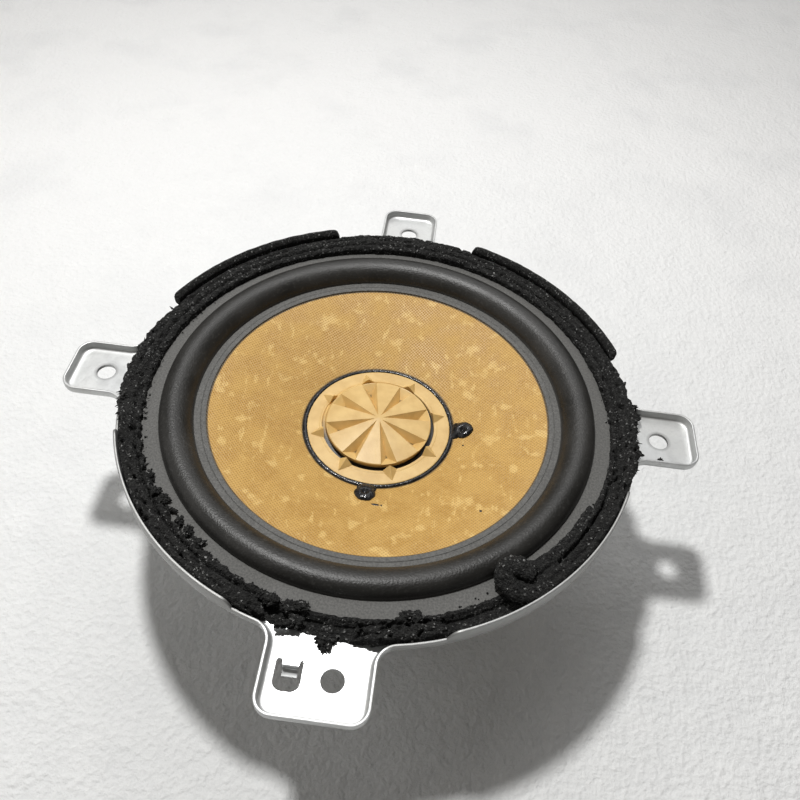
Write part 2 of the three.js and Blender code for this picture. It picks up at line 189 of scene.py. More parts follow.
def ramp(tree, value, start, end, top=1.0):
    """0 up to where the value is start, then rising to top where it is end."""
    return node(tree, "MapRange", Value=value, From_Min=start, From_Max=end, To_Max=top).outputs[0]


def from_axis(tree, place):
    """Distance from the speaker's axis."""
    flat_place = node(tree, "VectorMath", {"operation": "MULTIPLY"}, in_0=place, in_1=(1, 1, 0)).outputs[0]
    return node(tree, "VectorMath", {"operation": "LENGTH"}, in_0=flat_place).outputs["Value"]


def coloured(tree, surface, colour):
    socket(tree, colour, surface.inputs["Base Color"])


def dulled(tree, surface, roughness):
    socket(tree, roughness, surface.inputs["Roughness"])


def bumped(tree, surface, height, depth, strength=1.0):
    relief = node(tree, "Bump", Height=height, Distance=depth, Strength=strength)
    tree.links.new(relief.outputs[0], surface.inputs["Normal"])


table_finish, tree, surface, place = shader("table_paper", 0.75)
pitted = number(tree, "ADD", rough_noise(tree, place, 0.0022, 5, 0.3, 0.7),
                rough_noise(tree, place, 0.011, 3, 0.3, 0.7))
stain = number(tree, "MULTIPLY", rough_noise(tree, place, 0.05, 4, 0.5, 0.75), 0.5)
# The relief's low spots are painted darker than its tops: painted shade in the pits.
shade = mixed(tree, number(tree, "MULTIPLY", pitted, 0.5), (0.82, 0.83, 0.83, 1), (0.91, 0.915, 0.91, 1))
# The table is painted paler farther from the speaker: painted light that evens out the lamps' fall-off.
reach = node(tree, "VectorMath", {"operation": "LENGTH"}, in_0=place).outputs["Value"]
painted_far_light = ramp(tree, reach, 0.10, 0.30)
shade = mixed(tree, painted_far_light, shade, (0.99, 0.99, 0.985, 1))
coloured(tree, surface, mixed(tree, stain, shade, (0.82, 0.825, 0.83, 1)))
bumped(tree, surface, pitted, 0.0004, 0.9)
bm = bmesh.new()
bmesh.ops.create_grid(bm, x_segments=8, y_segments=8, size=2.5)
table_mesh = bpy.data.meshes.new("table")
bm.to_mesh(table_mesh)
bm.free()
table_mesh.materials.append(table_finish)
table = bpy.data.objects.new("table", table_mesh)
bpy.context.collection.objects.link(table)


# ---- Basket ----
# One pressing of zinc plated sheet steel: a flat mounting plate with four tabs, a raised ledge for the
# surround, and a sloping wall with windows. Its rim and the tabs' edges are turned up; the rim is taller.
STEEL = 1.0 * MM
PLATE_Z = 57.4 * MM
RIM_R = 82.5 * MM
RIM_HEIGHT = 6.0 * MM
TAB_LIP = 2.8 * MM
TAB_END = 102.5 * MM
TAB_CORNER = 5 * MM
TAB_FILLET = 5.5 * MM
HOLE_CIRCLE = 91.1 * MM
HOLE_R = 3.0 * MM
TABS = {0: (-10.6, 10.6), 90: (-10.6, 10.6), 180: (-10.6, 10.6), 270: (-18.6, 10.7)}
RIM_ARCS = [(22, 71), (109, 157), (198, 249), (290, 343)]
AROUND = 192


def polar(radius, degrees, z=0.0):
    angle = math.radians(degrees)
    return Vector((radius * math.cos(angle), radius * math.sin(angle), z))


def arc(middle, radius, start, end, steps):
    """Points on an arc about middle, in degrees, both ends included."""
    return [Vector(middle) + polar(radius, start + (end - start) * i / steps).xy for i in range(steps + 1)]


def plate_outline(inset):
    """The plate's outline, the given distance inside the outer face of its turned-up edge."""
    points = []
    rim = RIM_R - inset
    ends = []
    for turn, (low, high) in TABS.items():
        low, high = low * MM + inset, high * MM - inset
        fillet, corner, end = TAB_FILLET + inset, TAB_CORNER - inset, TAB_END - inset
        reach = rim + fillet
        low_x = math.sqrt(reach ** 2 - (low - fillet) ** 2)
        high_x = math.sqrt(reach ** 2 - (high + fillet) ** 2)
        low_angle = math.degrees(math.atan2(low - fillet, low_x))
        high_angle = math.degrees(math.atan2(high + fillet, high_x))
        side = arc((low_x, low - fillet), fillet, 180 + low_angle, 90, 12)
        side += [Vector((low_x + (end - corner - low_x) * i / 8, low)) for i in range(1, 8)]
        side += arc((end - corner, low + corner), corner, -90, 0, 10)
        side += [Vector((end, low + corner + (high - low - 2 * corner) * i / 8)) for i in range(1, 8)]
        side += arc((end - corner, high - corner), corner, 0, 90, 10)
        side += [Vector((end - corner + (high_x - end + corner) * i / 8, high)) for i in range(1, 8)]
        side += arc((high_x, high + fillet), fillet, -90, -180 + high_angle, 12)
        spin = Matrix.Rotation(math.radians(turn), 2)
        points.append([spin @ p for p in side])
        ends.append((turn + low_angle, turn + high_angle))
    outline = []
    for i, tab in enumerate(points):
        start, end = ends[i][1], ends[(i + 1) % 4][0] + (360 if i == 3 else 0)
        outline += tab + arc((0, 0), rim, start, end, 130)[1:-1]
    return outline


def lip_height(point):
    """Height of the turned-up edge: tall on the rim with rounded ends, low round the tabs."""
    azimuth = math.degrees(math.atan2(point.y, point.x)) % 360
    rise = RIM_HEIGHT - TAB_LIP
    for start, end in RIM_ARCS:
        inside = math.radians(min(azimuth - start, end - azimuth)) * RIM_R
        if inside > 0 and point.length < RIM_R + MM:
            return TAB_LIP + math.sqrt(max(rise ** 2 - max(rise - inside, 0) ** 2, 0))
    return TAB_LIP


def loop_of(bm, points, z):
    """A closed loop of edges; each vertex remembers its place along the loop."""
    index = bm.verts.layers.int.get("index") or bm.verts.layers.int.new("index")
    verts = [bm.verts.new((p[0], p[1], z)) for p in points]
    for i, vert in enumerate(verts):
        vert[index] = i
    return [bm.edges.new((verts[i], verts[(i + 1) % len(verts)])) for i in range(len(verts))]


def verts_of(geometry):
    return [part for part in geometry if isinstance(part, bmesh.types.BMVert)]


def edges_of(geometry):
    return [part for part in geometry if isinstance(part, bmesh.types.BMEdge)]


def capped(bm, *loops, up=(0, 0, 0)):
    """Fill each loop of edges, or set of loops with holes, with a flat face."""
    for loop in loops:
        bmesh.ops.triangle_fill(bm, use_beauty=True, use_dissolve=False, normal=up, edges=loop)


def pull(bm, edges, place):
    """Extrude a loop of edges and put each new vertex at place(its place along the loop)."""
    index = bm.verts.layers.int["index"]
    made = bmesh.ops.extrude_edge_only(bm, edges=edges)["geom"]
    for vert in verts_of(made):
        vert.co = place(vert[index])
    return edges_of(made)


def finished(name, bm, material, body, slot, *nodes, sharp=32):
    """Turn a bmesh into a piece that rides on a body and stands for CAD nodes; sharp is in degrees."""
    mesh = bpy.data.meshes.new(name)
    bm.normal_update()
    for edge in bm.edges:
        edge.smooth = len(edge.link_faces) != 2 or edge.calc_face_angle(0) < math.radians(sharp)
    for face in bm.faces:
        face.smooth = True
    bm.to_mesh(mesh)
    bm.free()
    mesh.materials.append(material)
    piece = bpy.data.objects.new(name, mesh)
    bpy.context.collection.objects.link(piece)
    if nodes:
        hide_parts(*nodes)
    if body:
        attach(piece, body)
    return piece


zinc, tree, surface, place = shader("zinc_plated_steel", 0.46, 0.8)
mottle = rough_noise(tree, place, 0.004, 4)
smear = rough_noise(tree, place, 0.02, 3)
shade = mixed(tree, mottle, (0.55, 0.56, 0.56, 1), (0.64, 0.65, 0.65, 1))
shade = mixed(tree, smear, shade, (0.62, 0.625, 0.615, 1))
pimple = rough_noise(tree, place, 0.0009, 3, 0.5, 0.75)
shade = mixed(tree, number(tree, "MULTIPLY", pimple, 0.25), shade, (0.40, 0.40, 0.40, 1))
# A darker coined ring round each screw hole, found by folding the four tabs on to one.
quarter = node(tree, "VectorMath", {"operation": "ABSOLUTE"}, in_0=place).outputs[0]
folded = node(tree, "SeparateXYZ", Vector=quarter).outputs
far = number(tree, "SUBTRACT", number(tree, "MAXIMUM", folded[0], folded[1]), HOLE_CIRCLE)
aside = number(tree, "MINIMUM", folded[0], folded[1])
apart = number(tree, "ADD", number(tree, "MULTIPLY", far, far), number(tree, "MULTIPLY", aside, aside))
apart = number(tree, "SQRT", apart)
coined = ramp(tree, apart, 0.0042, 0.0033, 0.55)
shade = mixed(tree, coined, shade, (0.25, 0.25, 0.25, 1))
# The turned-up rim's walls are painted darker than the flat of the sheet: painted shade on the rim.
radius = from_axis(tree, place)
inside = ramp(tree, radius, 0.0830, 0.0827)
outside = ramp(tree, radius, 0.0811, 0.0814)
above = node(tree, "SeparateXYZ", Vector=place).outputs["Z"]
raised = ramp(tree, above, 0.0578, 0.0584, 0.62)
rim = number(tree, "MULTIPLY", number(tree, "MULTIPLY", inside, outside), raised)
coloured(tree, surface, mixed(tree, rim, shade, (0.20, 0.198, 0.19, 1)))
dulled(tree, surface, spread(tree, smear, 0.42, 0.54))
bumped(tree, surface, mottle, 0.00003)

bm = bmesh.new()
insets = {}


def lip_point(inset, z, upright=0.0):
    """Where a section point of the turned-up edge goes; upright adds that share of the lip's height."""
    if inset not in insets:
        insets[inset] = plate_outline(inset)
    points = insets[inset]
    outer = insets[0.0]
    return lambda i: Vector((*points[i], z + upright * lip_height(outer[i])))


insets[0.0] = plate_outline(0.0)
flat_inset = 3.2
upper = loop_of(bm, plate_outline(flat_inset * MM), PLATE_Z)
edge = upper
# The lip's section: inset from its outer face, height above the plate, 1 where that is from the lip's top.
for inset, lift, upright in [
    (2.0, 0, 0), (1.5, 0.12, 0), (1.1, 0.45, 0), (0.85, 1.0, 0), (0.8, -0.25, 1), (0.7, -0.06, 1),
    (0.5, 0, 1), (0.3, 0, 1), (0.1, -0.06, 1), (0.0, -0.25, 1), (0.0, 1.0, 0), (0.15, 0.24, 0),
    (0.59, -0.41, 0), (1.23, -0.85, 0), (2.0, -1.0, 0), (flat_inset, -1.0, 0),
]:
    edge = pull(bm, edge, lip_point(inset * MM, PLATE_Z + lift * MM, upright))
lower = edge

# The bowl, from the plate over the ledge, down the wall to the base, and back up its other side.
BOWL_TOP = [(76.6, 57.4), (76.15, 57.6), (75.9, 58.2), (75.75, 58.9), (75.3, 59.3), (74.6, 59.4),
            (70.2, 59.4), (69.3, 59.1), (68.4, 57.9), (66, 55.2), (58, 47.6), (48.6, 38.8), (46.9, 37.2),
            (46.2, 36.4), (45.3, 36), (39.2, 36), (38.3, 35.7), (37.6, 34.7), (36, 28), (35.5, 26.6),
            (34.6, 26), (21.3, 26), (21, 25.8)]
BOWL_BACK = [(21, 25.2), (21.3, 25), (35.4, 25), (36.3, 25.8), (36.8, 27.4), (38.5, 34.3), (39.1, 35),
             (45.7, 35), (46.9, 35.7), (49.3, 38.1), (58.7, 46.9), (66.8, 54.6), (69.6, 57.8), (70.3, 58.4),
             (74.0, 58.4), (74.7, 58.0), (74.9, 57.2), (75.3, 56.6), (76.2, 56.4)]
circle = [polar(1, 360 * i / AROUND) for i in range(AROUND)]
inner = loop_of(bm, [p * 77.2 * MM for p in circle], PLATE_Z)
edge = inner
for radius, z in BOWL_TOP + BOWL_BACK:
    edge = pull(bm, edge, lambda i, r=radius, h=z: Vector((*(circle[i] * r * MM).xy, h * MM)))
under = edge

# Screw holes with a coined edge, and the slot beside the wide tab's hole.
tops, bottoms = [upper, inner], [lower, under]


def punched(points, coin):
    """Cut a hole whose outline grows outwards by coin at the plate's top face."""
    middle = sum(points, Vector((0, 0))) / len(points)
    grown = [p + (p - middle).normalized() * coin for p in points]
    top_loop = loop_of(bm, grown, PLATE_Z)
    edge = pull(bm, top_loop, lambda i: Vector((*points[i], PLATE_Z - 0.12 * MM)))
    edge = pull(bm, edge, lambda i: Vector((*points[i], PLATE_Z - STEEL + 0.1 * MM)))
    edge = pull(bm, edge, lambda i: Vector((*grown[i], PLATE_Z - STEEL)))
    tops.append(top_loop)
    bottoms.append(edge)


hole_points = 48
for turn in TABS:
    hole = arc(polar(HOLE_CIRCLE, turn).xy, HOLE_R, 0, 360 - 360 / hole_points, hole_points - 1)
    punched(hole, 0.12 * MM)
slot = arc((-12.5 * MM, -92.7 * MM), 2.5 * MM, 180, 270, 8)
slot += arc((-10.5 * MM, -92.7 * MM), 2.5 * MM, 270, 360, 8)
slot += [Vector(p) * MM for p in ((-8, -87.6), (-8.5, -87), (-9, -87.4), (-9.1, -88.6), (-13.3, -88.6),
                                  (-13.5, -87.2), (-14.4, -87), (-15, -87.5))]
punched(slot, 0.1 * MM)
capped(bm, [e for ring in tops for e in ring], up=(0, 0, 1))
capped(bm, [e for ring in bottoms for e in ring], up=(0, 0, -1))
bmesh.ops.recalc_face_normals(bm, faces=bm.faces)
basket = finished("pressed_basket", bm, zinc, None, "zinc_steel", "basket", sharp=40)


def tongue():
    """The slot's sheet, left hanging down from its inner edge and turned out at its foot."""
    bm = bmesh.new()
    line = [(-88.5, 57.0), (-88.6, 55.3), (-88.75, 55.1), (-89.0, 54.95), (-90.5, 54.7)]
    verts = [bm.verts.new(Vector((-13.4, y, z)) * MM) for y, z in line]
    edges = [bm.edges.new(pair) for pair in zip(verts, verts[1:])]
    made = bmesh.ops.extrude_edge_only(bm, edges=edges)["geom"]
    bmesh.ops.translate(bm, verts=verts_of(made), vec=(4 * MM, 0, 0))
    bmesh.ops.recalc_face_normals(bm, faces=bm.faces)
    bmesh.ops.solidify(bm, geom=list(bm.faces), thickness=0.6 * MM)
    bmesh.ops.recalc_face_normals(bm, faces=bm.faces)
    return bm


finished("slot_tongue", tongue(), zinc, "frame", "zinc_steel", sharp=30)


WINDOWS, WINDOW_TURN, WINDOW_CORNER = 8, -21, 2.5
WINDOW_HALF, WINDOW_LOW, WINDOW_TOP = 9.5, 41, 53.5


def cut_windows(piece):
    """Punch the windows, with rounded corners, through the sloping wall."""
    cutter = bmesh.new()
    for i in range(WINDOWS):
        outline = []
        for x, z, start in ((WINDOW_HALF, WINDOW_TOP, 0), (-WINDOW_HALF, WINDOW_TOP, 90),
                            (-WINDOW_HALF, WINDOW_LOW, 180), (WINDOW_HALF, WINDOW_LOW, 270)):
            up = 1 if z == WINDOW_TOP else -1
            middle = (x - math.copysign(WINDOW_CORNER, x), z - up * WINDOW_CORNER)
            outline += arc(middle, WINDOW_CORNER, start, start + 90, 5)
        verts = [cutter.verts.new((42 * MM, p.x * MM, p.y * MM)) for p in outline]
        face = cutter.faces.new(verts)
        made = bmesh.ops.extrude_face_region(cutter, geom=[face])["geom"]
        moved = verts_of(made)
        bmesh.ops.translate(cutter, verts=moved, vec=(32 * MM, 0, 0))
        spin = Matrix.Rotation(math.radians(360 / WINDOWS * i + WINDOW_TURN), 3, "Z")
        bmesh.ops.rotate(cutter, verts=verts + moved, matrix=spin)
    bmesh.ops.recalc_face_normals(cutter, faces=cutter.faces)
    mesh = bpy.data.meshes.new("window_punch")
    cutter.to_mesh(mesh)
    cutter.free()
    punch = bpy.data.objects.new("window_punch", mesh)
    bpy.context.collection.objects.link(punch)
    cut = piece.modifiers.new("windows", "BOOLEAN")
    cut.operation, cut.solver, cut.object = "DIFFERENCE", "EXACT", punch
    seen = piece.evaluated_get(bpy.context.evaluated_depsgraph_get())
    piece.data = bpy.data.meshes.new_from_object(seen)
    piece.modifiers.clear()
    bpy.data.objects.remove(punch)


cut_windows(basket)
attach(basket, "frame")


# ---- Surround ----
# Moulded rubber half roll. Its inner flange is cemented over the cone's edge and its outer flange on the
# basket's ledge, so the inner edge goes with the cone and the outer edge stays with the basket.
ROLL_MIDDLE, ROLL_HALF, ROLL_FOOT, ROLL_HEIGHT, RUBBER = 64.5, 5.2, 59, 4.7, 0.55
FINE = 256


def turned(profile, steps=FINE):
    """Spin a profile of (radius, height) in millimetres once round the axis, as a closed skin."""
    bm = bmesh.new()
    verts = [bm.verts.new((r * MM, 0, z * MM)) for r, z in profile]
    closed = profile[0][0] > 0
    edges = [bm.edges.new(pair) for pair in zip(verts, verts[1:])]
    if closed:
        edges.append(bm.edges.new((verts[-1], verts[0])))
    bmesh.ops.spin(bm, geom=verts + edges, cent=(0, 0, 0), axis=(0, 0, 1), dvec=(0, 0, 0), angle=2 * math.pi,
                   steps=steps, use_merge=True, use_duplicate=False)
    bmesh.ops.remove_doubles(bm, verts=bm.verts, dist=1e-6)
    bmesh.ops.recalc_face_normals(bm, faces=bm.faces)
    return bm


def radial_blend(piece, inner, outer):
    """Make a ring follow the cone at its inner radius and the basket at its outer one, in millimetres."""
    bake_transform(piece, "frame", "cone_assembly", start=(outer * MM, 0, 0), end=(inner * MM, 0, 0))
    share = piece.data.attributes["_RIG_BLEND"]
    for i, vert in enumerate(piece.data.vertices):
        along = (outer * MM - vert.co.xy.length) / ((outer - inner) * MM)
        along = min(max(along, 0.0), 1.0)
        share.data[i].value = along * along * (3 - 2 * along)


def roll_arc(shrink, steps=18):
    """The half roll's section, the given distance inside its outer skin."""
    points = []
    for i in range(steps + 1):
        angle = math.pi * (1 - i / steps)
        height = ROLL_FOOT + math.cos(angle) + (ROLL_HEIGHT - shrink) * math.sin(angle)
        points.append((ROLL_MIDDLE + (ROLL_HALF - shrink) * math.cos(angle), height))
    return points


rubber, tree, surface, place = shader("surround_rubber", 0.5)
surface.inputs["Specular IOR Level"].default_value = 0.42
speck = rough_noise(tree, place, 0.0006, 3)
cloud = rough_noise(tree, place, 0.012, 4)
radius = from_axis(tree, place)
outer_flange = ramp(tree, radius, 69.5 * MM, 70.0 * MM)
inner_flange = ramp(tree, radius, 59.5 * MM, 59.1 * MM)
flange = number(tree, "MAXIMUM", outer_flange, inner_flange)
roll_shade = mixed(tree, cloud, (0.014, 0.0135, 0.012, 1), (0.024, 0.023, 0.021, 1))
flange_shade = mixed(tree, speck, (0.085, 0.084, 0.080, 1), (0.135, 0.133, 0.126, 1))
dusty = number(tree, "MULTIPLY", rough_noise(tree, place, 0.0012, 4, 0.55, 0.75), 0.12)
shade = mixed(tree, flange, roll_shade, flange_shade)
coloured(tree, surface, mixed(tree, dusty, shade, (0.18, 0.177, 0.168, 1)))
dulled(tree, surface, number(tree, "ADD", spread(tree, cloud, 0.38, 0.46),
                             number(tree, "MULTIPLY", flange, 0.25)))
bumped(tree, surface, speck, 0.00005, 0.7)

face = [(55.5, 57.5), (55.55, 57.85), (55.8, 58.0), (57.0, 58.0), (57.2, 57.85), (57.4, 58.0), (58.9, 58.0)]
face += roll_arc(0)
face += [(70.1, 59.98), (75.2, 60.0), (75.5, 59.8), (75.5, 59.45), (69.4, 59.45)]
back = roll_arc(RUBBER)[::-1][1:-1] + [(59.6, 57.45), (55.8, 57.45)]
surround = finished("rubber_surround", turned(face + back), rubber, None, "surround_rubber", "surround")
radial_blend(surround, 59.5, 69.6)


# ---- Cone ----
# A shallow cone of woven cloth pressed and stiffened with a gold coating, a little blotchy where the
# coating is thin. Its flat rim carries the surround and its neck is glued to the coil former.
cloth, tree, surface, place = shader("gold_woven_cloth", 0.5)
surface.inputs["Specular IOR Level"].default_value = 0.4
turned_place = node(tree, "Mapping", Vector=place, Rotation=(0, 0, math.radians(45))).outputs[0]
threads = woven(tree, turned_place, 0.00082, 1.4)
blotch = rough_noise(tree, place, 0.009, 4, 0.4, 0.62)
fleck = rough_noise(tree, place, 0.0016, 3, 0.4, 0.7)
flake = number(tree, "MULTIPLY", rough_noise(tree, place, 0.0062, 2.2, 0.6, 0.67), 0.6)
streak = node(tree, "Mapping", Vector=place, Scale=(1, 0.35, 1), Rotation=(0, 0, 0.9)).outputs[0]
scuff = number(tree, "MULTIPLY", rough_noise(tree, streak, 0.0022, 3, 0.62, 0.7), 0.6)
shade = mixed(tree, blotch, (0.50, 0.285, 0.068, 1), (0.58, 0.35, 0.095, 1))
shade = mixed(tree, number(tree, "MULTIPLY", fleck, 0.3), shade, (0.70, 0.45, 0.145, 1))
shade = mixed(tree, number(tree, "MAXIMUM", flake, scuff), shade, (0.82, 0.57, 0.21, 1))
shade = mixed(tree, number(tree, "MULTIPLY", threads, 0.5), shade, (0.26, 0.135, 0.03, 1))
radius = from_axis(tree, place)
cement = ramp(tree, radius, 54.9 * MM, 55.2 * MM)
foot = ramp(tree, radius, 25.9 * MM, 25.4 * MM)
soiled = number(tree, "MULTIPLY", number(tree, "MAXIMUM", cement, foot), 0.85)
coloured(tree, surface, mixed(tree, soiled, shade, (0.02, 0.018, 0.015, 1)))
dulled(tree, surface, spread(tree, blotch, 0.42, 0.6))
bumped(tree, surface, number(tree, "ADD", threads, number(tree, "MULTIPLY", blotch, 0.6)), 0.00012, 0.9)

CONE_PROFILE = [(17, 43.6), (24, 46.0), (40, 51.35), (55.2, 56.5), (56, 56.6), (59.2, 56.6), (59.25, 57.0),
                (59.2, 57.4), (55.9, 57.4), (55.3, 57.33), (50, 55.6), (40, 52.25), (30, 48.85), (24, 46.8),
                (21, 45.7), (17, 44.4)]
finished("woven_cone", turned(CONE_PROFILE), cloth, "cone_assembly", "gold_cloth", "cone")


# ---- Dust cap ----
# A gold moulding glued over the cone's neck: a low dome with eight V grooves, a moat round it with painted
# shade in its bottom, and a flat flange with eight small ridged spikes that run out from the dome's rim.
DOME_TOP, DOME_RIM, DOME_RIM_R = 51.5, 49.2, 17.5
VALLEY_R, VALLEY_Z, GROOVE_START, GROOVE_HALF = 13.3, 46.8, 1.2, 2.65
CAP_TURN, GROOVES = 18.5, 8
HALF_GROOVE_TURN = 180 / GROOVES


def dome_height(r):
    share = r / DOME_RIM_R
    return DOME_TOP - (DOME_TOP - DOME_RIM) * (0.82 * share + 0.18 * share * share)


def moulded_cap():
    """Turn the cap's section, then fold its points into grooves and lean its rim out at the back and left."""
    rings = [0.6, 1.2, 2.2, 3.6, 5, 6.5, 8, 9.5, 11, 12.2, VALLEY_R, 14.0, 14.8, 15.5, 16.2, 16.9, 17.3]
    undercut = [(17.5, 49.05), (17.5, 48.7), (17.2, 47.6), (17.0, 46.3), (18.6, 46.2), (18.65, 47.2),
                (18.8, 47.55)]
    sloped = [(17.5, 49.05), (17.75, 48.8), (18.3, 48.3), (18.9, 47.8), (19.1, 47.65), (19.3, 47.6),
              (19.4, 47.6)]
    flange = [(19.6, 47.6), (19.9, 47.5), (20.6, 47.5), (22, 47.5), (23.7, 47.5), (23.95, 47.4),
              (24.0, 47.2), (24.0, 46.9), (20, 45.8), (16.6, 45.6), (12, 46.2), (0, 48.2)]
    profile = [(0, dome_height(0))] + [(r, dome_height(r)) for r in rings] + undercut + flange
    share = [0.0, 0.5, 1.0, 1.35, 1.8, 2.4, 3.0]
    columns = len(share) * 2 - 2
    bm = turned(profile, GROOVES * columns)
    for vert in bm.verts:
        r = vert.co.xy.length / MM
        column = round((math.degrees(math.atan2(vert.co.y, vert.co.x)) % 360) / 360 * GROOVES * columns)
        within = column % columns
        side = 1 if within <= columns // 2 else -1
        step = within if side > 0 else columns - within
        edge_half = GROOVE_HALF * max(r - GROOVE_START, 0) / (DOME_RIM_R - GROOVE_START)
        crease_half = GROOVE_HALF * max(r - VALLEY_R, 0) / (DOME_RIM_R - VALLEY_R)
        edge_turn = math.degrees(math.asin(min(edge_half / max(r, 0.1), 1)))
        crease_turn = math.degrees(math.asin(min(crease_half / max(r, 0.1), 1)))
        if share[step] <= 0.5:
            turn = crease_turn * share[step] * 2
        elif share[step] <= 1:
            turn = edge_turn
        else:
            turn = edge_turn + (HALF_GROOVE_TURN - edge_turn) * (share[step] - 1) / 2
        if r > DOME_RIM_R - 0.01 or r < 0.1:
            turn = HALF_GROOVE_TURN * step / (columns // 2)
        elif vert.co.z / MM > 48.9 and step <= 1:
            if r <= VALLEY_R:
                fall = (r - GROOVE_START) / (VALLEY_R - GROOVE_START)
                start_z, end_z = dome_height(GROOVE_START), VALLEY_Z
            else:
                fall = (r - VALLEY_R) / (DOME_RIM_R - VALLEY_R)
                start_z, end_z = VALLEY_Z, DOME_RIM - 0.1
            if r > GROOVE_START:
                vert.co.z = (start_z + (end_z - start_z) * fall) * MM
        azimuth = CAP_TURN + 2 * HALF_GROOVE_TURN * (column // columns + (1 if side < 0 else 0)) + side * turn
        for low, high in zip(undercut, sloped):
            if abs(r - low[0]) < 1e-3 and abs(vert.co.z / MM - low[1]) < 1e-3:
                lean = 0.5 - 0.5 * math.cos(math.radians(azimuth + 50))
                lean = min(max(lean * 1.5 - 0.62, 0), 1)
                r = low[0] + (high[0] - low[0]) * lean
                vert.co.z = (low[1] + (high[1] - low[1]) * lean) * MM
                break
        if r > 0.1:
            vert.co.xy = polar(r * MM, azimuth).xy
    bmesh.ops.remove_doubles(bm, verts=bm.verts, dist=0.02 * MM)
    for i in range(GROOVES):
        corners = [(18.7, -2.6, 47.0), (18.7, 2.6, 47.0), (18.75, -2.5, 47.5), (18.75, 2.5, 47.5),
                   (18.6, 0.2, 49.8), (18.6, -0.2, 49.8), (23.0, 0, 47.5), (23.2, 0, 47.0)]
        made = [bm.verts.new(Vector(p) * MM) for p in corners]
        hull = bmesh.ops.convex_hull(bm, input=made)
        bmesh.ops.delete(bm, geom=list({*hull["geom_interior"], *hull["geom_unused"]}), context="VERTS")
        spin = Matrix.Rotation(math.radians(CAP_TURN + 360 / GROOVES * i), 3, "Z")
        bmesh.ops.rotate(bm, verts=[v for v in made if v.is_valid], matrix=spin)
    return bm


moulding, tree, surface, place = shader("gold_moulding", 0.42)
pores = rough_noise(tree, place, 0.0005, 3)
cloud = rough_noise(tree, place, 0.005, 4)
shade = mixed(tree, cloud, (0.62, 0.405, 0.145, 1), (0.72, 0.495, 0.195, 1))
height = node(tree, "SeparateXYZ", Vector=place).outputs["Z"]
# Below the flange's face, the moat's floor and the foot of the dome's wall are painted near black: painted
# shade in the gap round the dome.
painted_moat_shade = ramp(tree, height, 47.3 * MM, 46.7 * MM)
coloured(tree, surface, mixed(tree, painted_moat_shade, shade, (0.03, 0.028, 0.025, 1)))
bumped(tree, surface, pores, 0.00003, 0.7)
finished("dust_cap_moulding", moulded_cap(), moulding, "cone_assembly", "gold_moulding", "dust_cap", sharp=14)


# ---- Glue at the cap and over the lead eyelets ----
# Black solvent glue: a hand-run bead round the cap's edge, and a blob over each brass eyelet where a
# tinsel lead comes through the cone. Each blob has run back to the bead and sunk in the middle.
CONE_SLOPE = math.atan2(57.4 - 46.8, 55.4 - 24)
EYELET_R = 28.4


def cone_top(r):
    return 46.8 + (r - 24) * math.tan(CONE_SLOPE)


glue, tree, surface, place = shader("black_glue", 0.16)
film = rough_noise(tree, place, 0.0015, 4)
coloured(tree, surface, mixed(tree, film, (0.006, 0.006, 0.006, 1), (0.02, 0.02, 0.022, 1)))
dulled(tree, surface, spread(tree, film, 0.1, 0.32))
bumped(tree, surface, film, 0.00012, 0.7)

bm = turned([(24.6 + 0.75 * math.cos(a), 47.15 + 0.6 * math.sin(a)) for a in
             [2 * math.pi * i / 12 for i in range(12)]], 240)
for vert in bm.verts:
    azimuth = math.degrees(math.atan2(vert.co.y, vert.co.x))
    heavy = 1.0 + 0.45 * math.exp(-((((azimuth + 160) + 180) % 360 - 180) / 55) ** 2)
    heavy += 0.5 * noise.noise(Vector((vert.co.x, vert.co.y, 0)) * 110)
    middle = polar(24.5 * MM, azimuth, 47.1 * MM)
    vert.co = middle + (vert.co - middle) * heavy * 0.9
finished("cap_glue_bead", bm, glue, "cone_assembly", "black_glue", "cap_glue_ring")

for count, azimuth in enumerate((3, -91)):
    bm = bmesh.new()
    bmesh.ops.create_icosphere(bm, subdivisions=5, radius=1)
    for vert in bm.verts:
        v = vert.co.copy()
        flat_r = v.xy.length
        wobble = 1 + 0.16 * noise.noise(Vector((v.x * 1.6, v.y * 1.6, 5.0 + 7 * count)))
        x, y = v.x * 3.5 * wobble, v.y * 3.3 * wobble
        neck = max(-x - 1.5, 0)
        y *= 1 + 0.35 * neck
        x -= neck * 0.55
        z = v.z * (1.5 if v.z > 0 else 0.5)
        z -= 1.15 * math.exp(-((x - 0.1) ** 2 + (y + 0.2) ** 2) / 0.9) * (v.z > 0)
        z += 0.12 * noise.noise(Vector((x * 0.9, y * 0.9, 2 + count))) * (flat_r < 0.98)
        vert.co = Vector((x, y, z)) * MM
    bmesh.ops.rotate(bm, verts=bm.verts, matrix=Matrix.Rotation(-CONE_SLOPE, 3, "Y"))
    bmesh.ops.translate(bm, verts=bm.verts, vec=(EYELET_R * MM, 0, (cone_top(EYELET_R) + 0.1) * MM))
    bmesh.ops.rotate(bm, verts=bm.verts, matrix=Matrix.Rotation(math.radians(azimuth), 3, "Z"))
    finished(f"lead_glue_blob_{count + 1}", bm, glue, "cone_assembly", "black_glue", f"lead_glue_{count + 1}")

